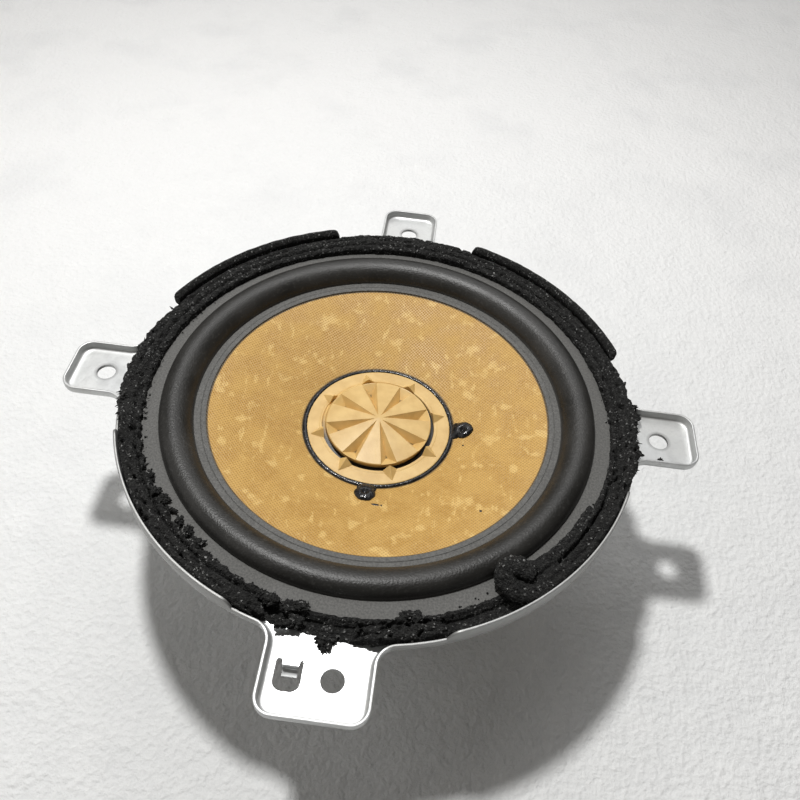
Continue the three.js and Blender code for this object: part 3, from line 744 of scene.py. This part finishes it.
# Specks of glue that dripped on the cone: radius, azimuth, length, width and heading in degrees.
SPECKS = [(33.1, -84.4, 1.4, 0.45, 80), (33.4, -81.2, 0.4, 0.3, 20), (48.7, -43.9, 0.5, 0.4, 0),
          (29.2, -9.7, 0.4, 0.3, 0)]
bm = bmesh.new()
for r, azimuth, length, width, heading in SPECKS:
    made = bmesh.ops.create_icosphere(bm, subdivisions=3, radius=1)["verts"]
    size = Matrix.Diagonal((length * MM, width * MM, 0.12 * MM)).to_4x4()
    tilt = Matrix.Rotation(math.radians(azimuth), 4, "Z") @ Matrix.Rotation(-CONE_SLOPE, 4, "Y")
    spot = Matrix.Translation(polar(r * MM, azimuth, (cone_top(r) + 0.02) * MM))
    spin = Matrix.Rotation(math.radians(heading), 4, "Z")
    bmesh.ops.transform(bm, matrix=spot @ tilt @ spin @ size, verts=made)
finished("glue_specks", bm, glue, "cone_assembly", "black_glue")


# ---- Foam gasket ----
# Black open-cell foam, glued to the plate and over the surround's flange. It has aged and torn: frayed at
# the tabs, ragged inside on the left, and gone towards the wide tab, where a thin grainy film is left.
FOAM_INNER, FOAM_OUTER, FOAM_TOP, FOAM_STEP = 74.0, 81.35, 63.0, 76.15
SKIN_ARCS = (21.2, 71.8), (108.6, 157.6)  # where a smooth skin of foam still laps over the rim
FOAM_MIDDLE = 78  # turns an azimuth into millimetres along the band

foam, tree, surface, place = shader("torn_black_foam", 0.95)
cell = node(tree, "TexVoronoi", Vector=place, Scale=1 / 0.0011).outputs["Distance"]
fine = rough_noise(tree, place, 0.0005, 3)
glint = node(tree, "TexVoronoi", Vector=place, Scale=1 / 0.0005).outputs["Color"]
lit = ramp(tree, glint, 0.80, 0.92)
grit = rough_noise(tree, place, 0.0008, 4, 0.46, 0.68)
shade = mixed(tree, fine, (0.002, 0.002, 0.002, 1), (0.014, 0.014, 0.013, 1))
shade = mixed(tree, grit, shade, (0.036, 0.036, 0.034, 1))
coloured(tree, surface, mixed(tree, number(tree, "MULTIPLY", lit, fine), shade, (0.42, 0.42, 0.41, 1)))
bumped(tree, surface, number(tree, "ADD", cell, fine), 0.0006, 1.0)


def near(azimuth, middle, half):
    """1 at an azimuth, falling to 0 at the given number of degrees to either side."""
    apart = abs((azimuth - middle + 180) % 360 - 180)
    return max(0.0, 1 - (apart / half) ** 2)


def uneven(a, b, c=0.0):
    return noise.noise(Vector((a, b, c)))


def foam_floor(r):
    """Height that the foam lies on: the surround's flange, or the plate outside its step."""
    return 60.03 if r < FOAM_STEP else 57.43


def foam_edges(azimuth):
    """Inner and outer radius and top height of what is left of the gasket at an azimuth."""
    along = math.radians(azimuth) * FOAM_MIDDLE
    at_tab = max(near(azimuth, 0, 19), near(azimuth, 90, 19), near(azimuth, 178, 17))
    frayed = max(near(azimuth, -2, 24), 0.25 * near(azimuth, 92, 19), 0.55 * near(azimuth, 176, 24))
    torn = max(near(azimuth, 214, 34), 0.6 * near(azimuth, 250, 10))
    inner = FOAM_INNER + 0.35 * uneven(along / 3, 1) + torn * (0.9 + 2.2 * uneven(along / 2.6, 5))
    inner += 0.7 * near(azimuth, -14, 24) - 2.0 * near(azimuth, -49, 12)
    outer = FOAM_OUTER - 0.25 * abs(uneven(along / 4, 9)) + at_tab ** 0.5 * 1.2
    fringe = 2.4 * max(uneven(along / 2.9, 20) + 0.15, -0.3) + 0.9 * max(uneven(along / 0.9, 22), 0)
    outer += min(at_tab * 3, 1) * frayed * fringe
    under_skin = max(near(azimuth, 133, 25), near(azimuth, 46.5, 25.5)) ** 0.2
    top = FOAM_TOP + 0.35 * uneven(along / 9, 30) - frayed * 0.6 - torn * 0.5 - 0.5 * under_skin
    return inner, outer, top, frayed, torn


def part_ring(section, start, end, steps):
    """Spin a closed section from one azimuth to another and close both of its ends."""
    bm = bmesh.new()
    verts = [bm.verts.new(point) for point in section]
    loop = [bm.edges.new(pair) for pair in zip(verts, verts[1:] + verts[:1])]
    made = bmesh.ops.spin(bm, geom=verts + loop, cent=(0, 0, 0), axis=(0, 0, 1), dvec=(0, 0, 0),
                          angle=math.radians(end - start), steps=steps)
    capped(bm, loop, edges_of(made["geom_last"]))
    return bm


def foam_band(start, end, steps, edges, seed, rough=0.3):
    """Sweep the gasket's section round the ring from one azimuth to another and roughen it."""
    outline = [(1, u / 8) for u in range(8)] + [(1 - a / 26, 1) for a in range(27)]
    outline += [(0, 1 - u / 8) for u in range(1, 9)] + [(a / 8, 0) for a in range(1, 8)]
    first = polar(1, start)
    section = [first * ((1 + across) * MM) + Vector((0, 0, up * MM)) for across, up in outline]
    bm = part_ring(section, start, end, steps)
    for vert in bm.verts:
        azimuth = math.degrees(math.atan2(vert.co.y, vert.co.x))
        while azimuth < start - 0.5:
            azimuth += 360
        across, up = vert.co.xy.length / MM - 1, vert.co.z / MM
        inner, outer, top, frayed, torn = edges(azimuth)
        along = math.radians(azimuth) * FOAM_MIDDLE
        end_wear = max(0.0, 1 - min(azimuth - start, end - azimuth) / 2.5)
        r = inner + (outer - inner) * across
        low = foam_floor(r)
        from_inner = (r - 76.7 - 0.3 * uneven(along / 6, 3)) / 0.45
        from_outer = (r - 79.4 - 0.3 * uneven(along / 5, 7)) / 0.35
        groove = (1.7 + near(azimuth, -34, 18)) * math.exp(-(from_inner ** 2))
        groove += 0.8 * math.exp(-(from_outer ** 2)) * (uneven(along / 14, 2) > 0)
        pit = max(0.0, uneven(along / 2.4, r / 1.6, seed) - 0.22) * (2 + 6 * max(frayed, torn))
        edge_round = 0.55 * (max(0, 0.07 - across) + max(0, across - 0.93)) / 0.07
        high = max(top - groove - pit - edge_round - end_wear * 2.2, low + 0.35)
        z = low + (high - low) * up
        shift = end_wear * 2.5 * uneven(r / 1.2, z / 1.2, seed)
        vert.co = polar(r * MM, azimuth + shift, z * MM)
    bm.normal_update()
    for vert in bm.verts:
        p = vert.co / MM
        lump = rough * uneven(*(p / 1.3)) + 0.6 * rough * uneven(*(p / 0.55 + Vector((seed, 0, 0))))
        vert.co += vert.normal * lump * MM
        low = foam_floor(vert.co.xy.length / MM) * MM
        vert.co.z = max(vert.co.z, low)
    bmesh.ops.recalc_face_normals(bm, faces=bm.faces)
    return bm


def foam_piece(name, bm, *nodes, fill=0.8):
    """A piece of the gasket that stands for a CAD node."""
    piece = finished(name, bm, foam, "frame", "foam", *nodes, sharp=180)
    return piece


foam_piece("torn_foam_gasket", foam_band(-50, 254, 930, foam_edges, 3), "foam_gasket")

# The skin of the foam stands a little above the rim on the two arcs where nothing has pulled it away.
SKIN_SECTION = [(81.4, 62.0), (81.7, 64.0), (82.1, 64.7), (82.6, 65.0), (83.2, 65.05), (83.75, 64.85),
                (84.0, 64.3), (83.85, 63.6), (83.3, 63.2), (82.6, 63.0), (82.0, 62.0)]
for count, (start, end) in enumerate(SKIN_ARCS):
    bm = part_ring([polar(r * MM, start, z * MM) for r, z in SKIN_SECTION], start, end, 130)
    for vert in bm.verts:
        azimuth = math.degrees(math.atan2(vert.co.y, vert.co.x))
        from_end = min(azimuth - start, end - azimuth) / 1.4
        drop = 1 - math.sqrt(max(1 - (1 - min(from_end, 1)) ** 2, 0))
        sway = 0.16 * uneven(azimuth / 2.5, 60) + 0.06 * uneven(azimuth / 0.5, 61)
        if vert.co.z > 62.5 * MM:
            vert.co.z += (sway - 1.6 * drop) * MM
            vert.co.xy *= 1 - 0.012 * drop
    bmesh.ops.recalc_face_normals(bm, faces=bm.faces)
    finished(f"foam_skin_over_rim_{count + 1}", bm, foam, "frame", "foam", sharp=180)


def lump_edges(azimuth):
    """The thick remnant beside the wide tab, as foam_edges."""
    along = math.radians(azimuth) * FOAM_MIDDLE
    inner = 75.9 + 1.0 * uneven(along / 2.5, 41) - 1.6 * near(azimuth, 283.5, 4)
    return inner, 81.1 + 0.5 * uneven(along / 3, 43), 61.6 + 0.8 * uneven(along / 4, 44), 0.5, 0.6


def film_edges(azimuth):
    """The thin film left on the flange in front, as foam_edges."""
    along = math.radians(azimuth) * FOAM_MIDDLE
    outer = 80.9 + 0.5 * uneven(along / 1.6, 51)
    outer += 2.6 * near(azimuth, 267.5, 1.6) - 0.8 * near(azimuth, 262, 9)
    return 75.1 + 0.5 * uneven(along / 2, 52), outer, 58.0 + 0.3 * uneven(along / 2, 53), 0.2, 0.2


foam_piece("foam_remnant_lump", foam_band(273, 290.5, 64, lump_edges, 8, 0.45), "foam_remnant", fill=0.7)
finished("foam_film", foam_band(250, 312, 220, film_edges, 12, 0.16), foam, "frame", "foam", sharp=180)


def swept(route, width, height, sides, steps, power=0.65):
    """Sweep a rounded section along a smooth route, with its size given at each share of the length."""
    curve = bpy.data.curves.new("route", "CURVE")
    curve.dimensions = "3D"
    spline = curve.splines.new("NURBS")
    spline.points.add(len(route) - 1)
    for point, place in zip(spline.points, route):
        point.co = (*(Vector(place) * MM), 1)
    spline.order_u, spline.use_endpoint_u, spline.resolution_u = 4, True, 24
    sampler = bpy.data.objects.new("route", curve)
    line = [v.co.copy() for v in sampler.to_mesh().vertices]
    sampler.to_mesh_clear()
    bpy.data.objects.remove(sampler)
    lengths = [0.0]
    for a, b in zip(line, line[1:]):
        lengths.append(lengths[-1] + (b - a).length)
    bm = bmesh.new()
    edge = None
    for step in range(steps + 1):
        share = step / steps
        at = share * lengths[-1]
        i = min(max(j for j, length in enumerate(lengths) if length <= at + 1e-9), len(line) - 2)
        ahead = line[i + 1] - line[i]
        centre = line[i] + ahead * ((at - lengths[i]) / ahead.length)
        side = ahead.cross(Vector((0, 0, 1))).normalized()
        up = side.cross(ahead).normalized()
        points = []
        for k in range(sides):
            angle = 2 * math.pi * k / sides
            c, s = math.cos(angle), math.sin(angle)
            x = math.copysign(abs(c) ** power, c) * width(share) / 2 * MM
            y = math.copysign(abs(s) ** power, s) * height(share) / 2 * MM
            points.append(centre + side * x + up * y)
        if edge is None:
            first = edge = loop_of(bm, points, 0)
            for vert, place in zip(bm.verts, points):
                vert.co = place
        else:
            edge = pull(bm, edge, lambda k: points[k])
    capped(bm, first, edge)
    bmesh.ops.recalc_face_normals(bm, faces=bm.faces)
    return bm


def roughen(bm, depth, seed):
    """Push a foam surface in and out, like broken cells."""
    bm.normal_update()
    for vert in bm.verts:
        p = vert.co / MM + Vector((seed, seed, seed))
        lump = uneven(*(p / 1.5)) + 0.6 * uneven(*(p / 0.6))
        vert.co += vert.normal * depth * lump * MM


# A strip of the gasket's band has torn free, folded back in a hook and dropped its end on the surround.
hook = swept([(58.0, -53.4, 60.4), (53.2, -58.4, 60.5), (48.8, -61.4, 60.8), (44.0, -61.8, 61.6),
              (41.3, -58.8, 63.4), (42.0, -56.2, 64.4), (45.2, -55.4, 64.5), (49.6, -56.6, 63.2)],
             lambda t: 7.0 - 1.3 * t, lambda t: 4.6 - 1.4 * t, 44, 100, 0.8)
roughen(hook, 0.5, 4)
foam_piece("foam_hook_strip", hook, "foam_torn_strip", fill=0.7)
ridge = swept([(66.6, -32.6, 61.7), (62.6, -40.0, 61.9), (57.8, -46.4, 62.0), (52.6, -51.8, 62.0),
               (48.8, -55.0, 61.6)],
              lambda t: 2.6 - 0.5 * t, lambda t: 2.2 - 0.4 * t, 24, 60)
roughen(ridge, 0.45, 9)
finished("foam_inner_ridge", ridge, foam, "frame", "foam", sharp=180)

# Loose crumbs and clumps along the torn edge, and threads of foam pulled out at the frayed stretches.
# Each clump: its middle and its size.
CLUMPS = [(-63.2, -41.0, 61.0, 2.0), (-59.8, -44.8, 60.9, 1.7), (-56.6, -47.2, 61.0, 1.9),
          (-53.2, -50.4, 60.8, 1.4), (-49.8, -53.8, 60.8, 1.7), (-46.6, -56.4, 60.9, 1.7),
          (-43.2, -60.2, 60.9, 1.9), (-39.8, -63.0, 60.8, 1.6), (-36.8, -64.8, 60.7, 1.3),
          (-25.4, -71.4, 60.9, 1.7), (-22.8, -72.2, 61.0, 1.9), (-19.6, -73.0, 61.0, 1.9),
          (-14.6, -74.4, 60.9, 1.5), (-11.2, -74.4, 61.0, 1.9), (-15.6, -79.0, 60.2, 2.0),
          (-12.4, -78.0, 60.0, 1.8), (-3.4, -80.6, 58.4, 2.1), (-3.9, -82.6, 57.9, 1.5),
          (16.8, -72.6, 61.0, 1.5), (19.0, -72.6, 61.1, 1.6), (90.0, -9.4, 59.2, 1.4),
          (45.4, -57.8, 61.4, 2.0), (82.6, 9.6, 61.2, 1.7), (83.6, 6.2, 60.6, 1.4), (82.8, -9.2, 60.9, 1.7)]
draw = random.Random(11)
bm = bmesh.new()
for x, y, z, size in CLUMPS:
    made = bmesh.ops.create_icosphere(bm, subdivisions=4, radius=1)["verts"]
    stretch = Vector((draw.uniform(0.7, 1.25), draw.uniform(0.6, 1.0), draw.uniform(0.4, 0.6)))
    for vert in made:
        n = vert.co.normalized()
        bulge = 0.9 + 0.9 * uneven(*(n * 1.3 + Vector((x, y, z))))
        bulge += 0.7 * uneven(*(n * 3.2 + Vector((y, x, z))))
        at = Vector((n.x * stretch.x, n.y * stretch.y, n.z * stretch.z)) * bulge * size + Vector((x, y, z))
        vert.co = Vector((at.x, at.y, max(at.z, foam_floor(at.xy.length)))) * MM
for _ in range(120):
    azimuth = draw.choice((draw.uniform(185, 262), draw.uniform(292, 320), draw.uniform(-28, 26),
                           draw.uniform(150, 190)))
    r = draw.uniform(73.0, 76.0) if azimuth > 100 else draw.uniform(73.4, 81.0)
    z = foam_floor(r) + 0.1
    made = bmesh.ops.create_icosphere(bm, subdivisions=1, radius=draw.uniform(0.12, 0.42) * MM)["verts"]
    bmesh.ops.translate(bm, verts=made, vec=polar(r * MM, azimuth, z * MM))
finished("foam_clumps", bm, foam, "frame", "foam", sharp=180)

bm = bmesh.new()
# Each frayed stretch: first and last azimuth, radius, 0 to face outwards or 180 inwards, number of threads.
FRAYED = [(-13, 2, 81.8, 0, 60), (163, 195, 81.3, 0, 110), (152, 196, 75.2, 180, 40),
          (200, 246, 76.0, 180, 40)]
for start, end, r, facing, count in FRAYED:
    for _ in range(count):
        azimuth = draw.uniform(start, end)
        length = draw.uniform(0.5, 1.9) * (1.0 if facing == 0 else 0.6)
        azimuth += 3 * round(uneven(azimuth / 2, 70) * 2)
        heading = math.radians(azimuth + facing + draw.gauss(0, 34))
        lean = math.radians(draw.uniform(-30, 12))
        way = Vector((math.cos(heading) * math.cos(lean), math.sin(heading) * math.cos(lean), math.sin(lean)))
        root = polar((r + draw.uniform(-1.6, 0.6)) * MM, azimuth, draw.uniform(60.6, 62.7) * MM)
        turn = way.to_track_quat("Z", "Y").to_matrix().to_4x4()
        bmesh.ops.create_cone(bm, cap_ends=True, segments=5, radius1=draw.uniform(0.2, 0.55) * MM,
                              radius2=0.05 * MM, depth=length * MM,
                              matrix=Matrix.Translation(root + way * length / 2 * MM) @ turn)
finished("foam_threads", bm, foam, "frame", "foam", sharp=180)


# ---- Motor ----
# A blackened steel yoke with the pole in one piece, a ferrite ring magnet and a steel top plate, glued
# together with the basket riveted on. A fine screen closes the pole's vent.
black_steel, tree, surface, place = shader("blackened_steel", 0.42, 0.75)
worn = rough_noise(tree, place, 0.003, 5, 0.45, 0.75)
coloured(tree, surface, mixed(tree, worn, (0.05, 0.05, 0.052, 1), (0.082, 0.082, 0.083, 1)))
dulled(tree, surface, spread(tree, worn, 0.34, 0.55))
bumped(tree, surface, worn, 0.00003, 0.6)

ferrite, tree, surface, place = shader("sintered_ferrite", 0.8)
grit = rough_noise(tree, place, 0.0007, 4)
stain = rough_noise(tree, place, 0.012, 4)
shade = mixed(tree, stain, (0.035, 0.035, 0.037, 1), (0.06, 0.06, 0.06, 1))
coloured(tree, surface, mixed(tree, number(tree, "MULTIPLY", grit, 0.3), shade, (0.12, 0.118, 0.115, 1)))
bumped(tree, surface, grit, 0.00008, 0.7)

yoke = [(5, 0.5), (5.5, 0), (39.2, 0), (40, 0.8), (40, 4.4), (39.4, 5), (15.5, 5), (15.5, 24.5), (15, 25),
        (5.5, 25), (5, 24.5)]
finished("pole_yoke", turned(yoke), black_steel, "frame", "dark_steel", "back_plate")
magnet = [(22, 5.5), (22.5, 5), (41.4, 5), (42.5, 6.1), (42.5, 18.9), (41.4, 20), (22.5, 20), (22, 19.5)]
finished("ferrite_ring", turned(magnet), ferrite, "frame", "ferrite", "ring_magnet")
front_plate = [(17.7, 20.3), (18, 20), (39.4, 20), (40, 20.6), (40, 24.4), (39.4, 25), (18, 25), (17.7, 24.7)]
finished("steel_top_plate", turned(front_plate), black_steel, "frame", "dark_steel", "top_plate")
RIVETS, RIVET_CIRCLE, RIVET_TURN = 4, 30, 45
for i in range(RIVETS):
    bm = turned([(0, 21.4), (1.75, 21.4), (1.75, 26), (3.1, 26), (3.2, 26.2), (3.0, 26.8), (2.4, 27.2),
                 (1.3, 27.4), (0, 27.4)], 40)
    bmesh.ops.translate(bm, verts=bm.verts, vec=polar(RIVET_CIRCLE * MM, RIVET_TURN + 360 / RIVETS * i))
    finished(f"staked_rivet_{i + 1}", bm, zinc, "frame", "zinc_steel", f"basket_rivet_{i + 1}")

bm = bmesh.new()
bmesh.ops.create_grid(bm, x_segments=26, y_segments=26, size=4.7 * MM)
outside = [v for v in bm.verts if v.co.xy.length > 4.66 * MM]
bmesh.ops.delete(bm, geom=outside, context="VERTS")
bmesh.ops.translate(bm, verts=bm.verts, vec=(0, 0, 1.5 * MM))
screen = finished("vent_gauze", bm, black_steel, "frame", "dark_steel", "vent_screen")
wires = screen.modifiers.new("wires", "WIREFRAME")
wires.thickness = 0.16 * MM


# ---- Coil, spider and their glue ----
# The moving parts behind the cone: a rolled aluminium former with enamelled copper wire wound on it, and
# a corrugated spider of resin-treated cloth that centres it, glued to the former and the basket's ledge.
aluminium, tree, surface, place = shader("former_aluminium", 0.38, 0.9)
streak = rough_noise(tree, place, 0.002, 3)
coloured(tree, surface, mixed(tree, streak, (0.62, 0.63, 0.64, 1), (0.76, 0.77, 0.78, 1)))
copper, tree, surface, place = shader("enamelled_copper", 0.3, 0.85)
streak = rough_noise(tree, place, 0.002, 3)
coloured(tree, surface, mixed(tree, streak, (0.42, 0.15, 0.06, 1), (0.58, 0.24, 0.10, 1)))
braid, tree, surface, place = shader("tinsel_braid", 0.42, 0.8)
strands = woven(tree, place, 0.0004, 1.0)
coloured(tree, surface, mixed(tree, strands, (0.16, 0.055, 0.025, 1), (0.66, 0.34, 0.17, 1)))
bumped(tree, surface, strands, 0.00012, 1.0)
treated, tree, surface, place = shader("treated_cloth", 0.85)
weave = woven(tree, place, 0.0007, 0.8)
shade = mixed(tree, rough_noise(tree, place, 0.006, 3), (0.42, 0.25, 0.09, 1), (0.55, 0.36, 0.15, 1))
coloured(tree, surface, mixed(tree, weave, shade, (0.22, 0.12, 0.04, 1)))
bumped(tree, surface, weave, 0.0001, 0.9)

finished("rolled_former", turned([(16.1, 17.5), (16.4, 17.5), (16.4, 46), (16.1, 46)]), aluminium,
         "cone_assembly", "aluminium", "coil_former")
wire_turns = [(17.0 + 0.18 * math.sin(math.pi * (k % 4) / 4), 17.6 + 0.1 * k) for k in range(99)]
finished("copper_winding", turned([(16.46, 17.55)] + wire_turns + [(16.46, 27.45)], 128), copper,
         "cone_assembly", "copper", "voice_coil")
fillet = [(16.45, 44.6), (17.4, 44.65), (18.3, 45.0), (18.2, 45.2), (17.2, 45.3), (16.6, 45.9), (16.45, 46)]
finished("neck_glue_fillet", turned(fillet), glue, "cone_assembly", "black_glue", "neck_glue")
fillet = [(16.45, 35.5), (17.5, 35.7), (17.55, 36.7), (17.0, 37.0), (16.6, 37.6), (16.45, 37.7)]
finished("spider_glue_fillet", turned(fillet), glue, "cone_assembly", "black_glue", "spider_glue")
SPIDER_INNER, SPIDER_OUTER, SPIDER_Z, SPIDER_WAVES, WAVE_HEIGHT = 19.5, 38.0, 36.25, 4, 1.15
SPIDER_HALF = 0.22  # half the cloth's thickness
wave = []
for k in range(49):
    share = k / 48
    ease = min(1, 5 * share, 5 * (1 - share))
    wave.append((SPIDER_INNER + (SPIDER_OUTER - SPIDER_INNER) * share,
                 SPIDER_Z + WAVE_HEIGHT * ease * math.sin(2 * math.pi * SPIDER_WAVES * share)))
middle = [(17.6, SPIDER_Z)] + wave + [(44.5, SPIDER_Z)]
skin = [(r, z - SPIDER_HALF) for r, z in middle] + [(r, z + SPIDER_HALF) for r, z in reversed(middle)]
spider = finished("corrugated_spider", turned(skin, 160), treated, None, "treated_cloth", "spider")
radial_blend(spider, SPIDER_INNER, SPIDER_OUTER)


# ---- Terminals and tinsel leads ----
# A laminate board riveted to the outside of one strut carries a wide and a narrow brass blade. A twisted
# tinsel lead runs from each blade's tag through the window beside it to an eyelet behind the cone.
BOARD_TURN, WALL_TILT = -43.5, 43.2
BLADE_SPACING = 7.5  # from the middle of the board to each blade
on_wall = Matrix.Rotation(math.radians(BOARD_TURN), 4, "Z") @ Matrix.Translation(Vector((58.2, 0, 46.4)) * MM)
on_wall = on_wall @ Matrix.Rotation(math.radians(-WALL_TILT), 4, "Y")

brass, tree, surface, place = shader("brass", 0.3, 0.95)
dull = rough_noise(tree, place, 0.003, 4)
coloured(tree, surface, mixed(tree, dull, (0.56, 0.40, 0.14, 1), (0.68, 0.52, 0.22, 1)))
dulled(tree, surface, spread(tree, dull, 0.25, 0.45))
laminate, tree, surface, place = shader("laminate_board", 0.6)
fibre = node(tree, "TexNoise", Vector=place, Scale=900.0, Detail=3.0, Distortion=2.0).outputs["Fac"]
coloured(tree, surface, mixed(tree, fibre, (0.10, 0.045, 0.018, 1), (0.22, 0.11, 0.05, 1)))
bumped(tree, surface, fibre, 0.00003, 0.5)


def stamped(outline, low, high, bevel):
    """A flat piece cut from sheet: outline points along and across the wall, thickness out from it."""
    bm = bmesh.new()
    face = bm.faces.new([bm.verts.new((along * MM, side * MM, -low * MM)) for along, side in outline])
    made = bmesh.ops.extrude_face_region(bm, geom=[face])["geom"]
    bmesh.ops.translate(bm, verts=verts_of(made), vec=(0, 0, (low - high) * MM))
    bmesh.ops.recalc_face_normals(bm, faces=bm.faces)
    bmesh.ops.bevel(bm, geom=list(bm.edges), offset=bevel * MM, affect="EDGES", segments=2, profile=0.5,
                    material=-1)
    bmesh.ops.transform(bm, matrix=on_wall, verts=bm.verts)
    return bm


corners = []
for along, side, start in ((4.5, 11.5, 0), (-4.5, 11.5, 90), (-4.5, -11.5, 180), (4.5, -11.5, 270)):
    corners += [tuple(p) for p in arc((along, side), 2.0, start, start + 90, 4)]
board = stamped(corners, 0.3, 2.3, 0.15)
finished("terminal_laminate", board, laminate, "frame", "phenolic", "terminal_board")
for name, way, half in (("wide", 1, 3.15), ("narrow", -1, 2.4)):
    outline = [(4.5, -half), (4.5, 6.2), (1.5, 6.2), (1.5, half), (-13.6, half), (-15, half - 1),
               (-15, 1 - half), (-13.6, -half)]
    outline = [(along, way * (side + BLADE_SPACING)) for along, side in outline]
    finished(f"brass_blade_{name}", stamped(outline, 2.35, 3.05, 0.12), brass, "frame", "brass",
             f"terminal_blade_{name}")
    bm = turned([(0, -4.2), (1.6, -4.1), (2.1, -3.7), (2.1, -3.15), (1.2, -3.1), (1.2, 1.8), (2.1, 1.9),
                 (2.0, 2.6), (1.2, 2.9), (0, 2.9)], 32)
    bmesh.ops.translate(bm, verts=bm.verts, vec=(0, way * BLADE_SPACING * MM, 0))
    bmesh.ops.transform(bm, matrix=on_wall, verts=bm.verts)
    finished(f"brass_rivet_{name}", bm, brass, "frame", "brass", f"terminal_rivet_{name}")

eyelet_top = cone_top(EYELET_R)
EYELET_SECTION = [(0.7, 2.3), (2.1, 2.3), (2.2, 2.1), (1.5, 1.8), (1.3, 1.5), (1.3, 0.3), (0.7, 0.3)]
for count, azimuth in enumerate((3, -90)):
    bm = turned([(r, eyelet_top - below) for r, below in EYELET_SECTION], 40)
    bmesh.ops.translate(bm, verts=bm.verts, vec=polar(EYELET_R * MM, 0))
    bmesh.ops.rotate(bm, verts=bm.verts, matrix=Matrix.Rotation(math.radians(azimuth), 3, "Z"))
    finished(f"brass_eyelet_{count + 1}", bm, brass, "cone_assembly", "brass", f"lead_eyelet_{count + 1}")

# Radius, azimuth for the lead to the first eyelet, height.
LEAD_ROUTE = [(62.9, -30.6, 46.2), (60.2, -28.9, 47.0), (56.6, -27.2, 47.4), (51.6, -24.2, 46.6),
              (45.4, -18.4, 44.6), (38.6, -9.6, 43.2), (32.4, -1.2, 43.9), (EYELET_R, 3, 45.9)]
LEAD_WIDTH = 1.2
for count, mirrored in enumerate((False, True)):
    route = [polar(r, 2 * BOARD_TURN - a if mirrored else a, z) for r, a, z in LEAD_ROUTE]
    bm = swept(route, lambda share: LEAD_WIDTH, lambda share: LEAD_WIDTH, 14, 160, 1.0)
    lead = finished(f"twisted_lead_{count + 1}", bm, braid, None, "copper", f"tinsel_lead_{count + 1}",
                    sharp=180)
    start, end = (p * MM for p in (route[0], route[-1]))
    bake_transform(lead, "frame", "cone_assembly", start=tuple(start), end=tuple(end))
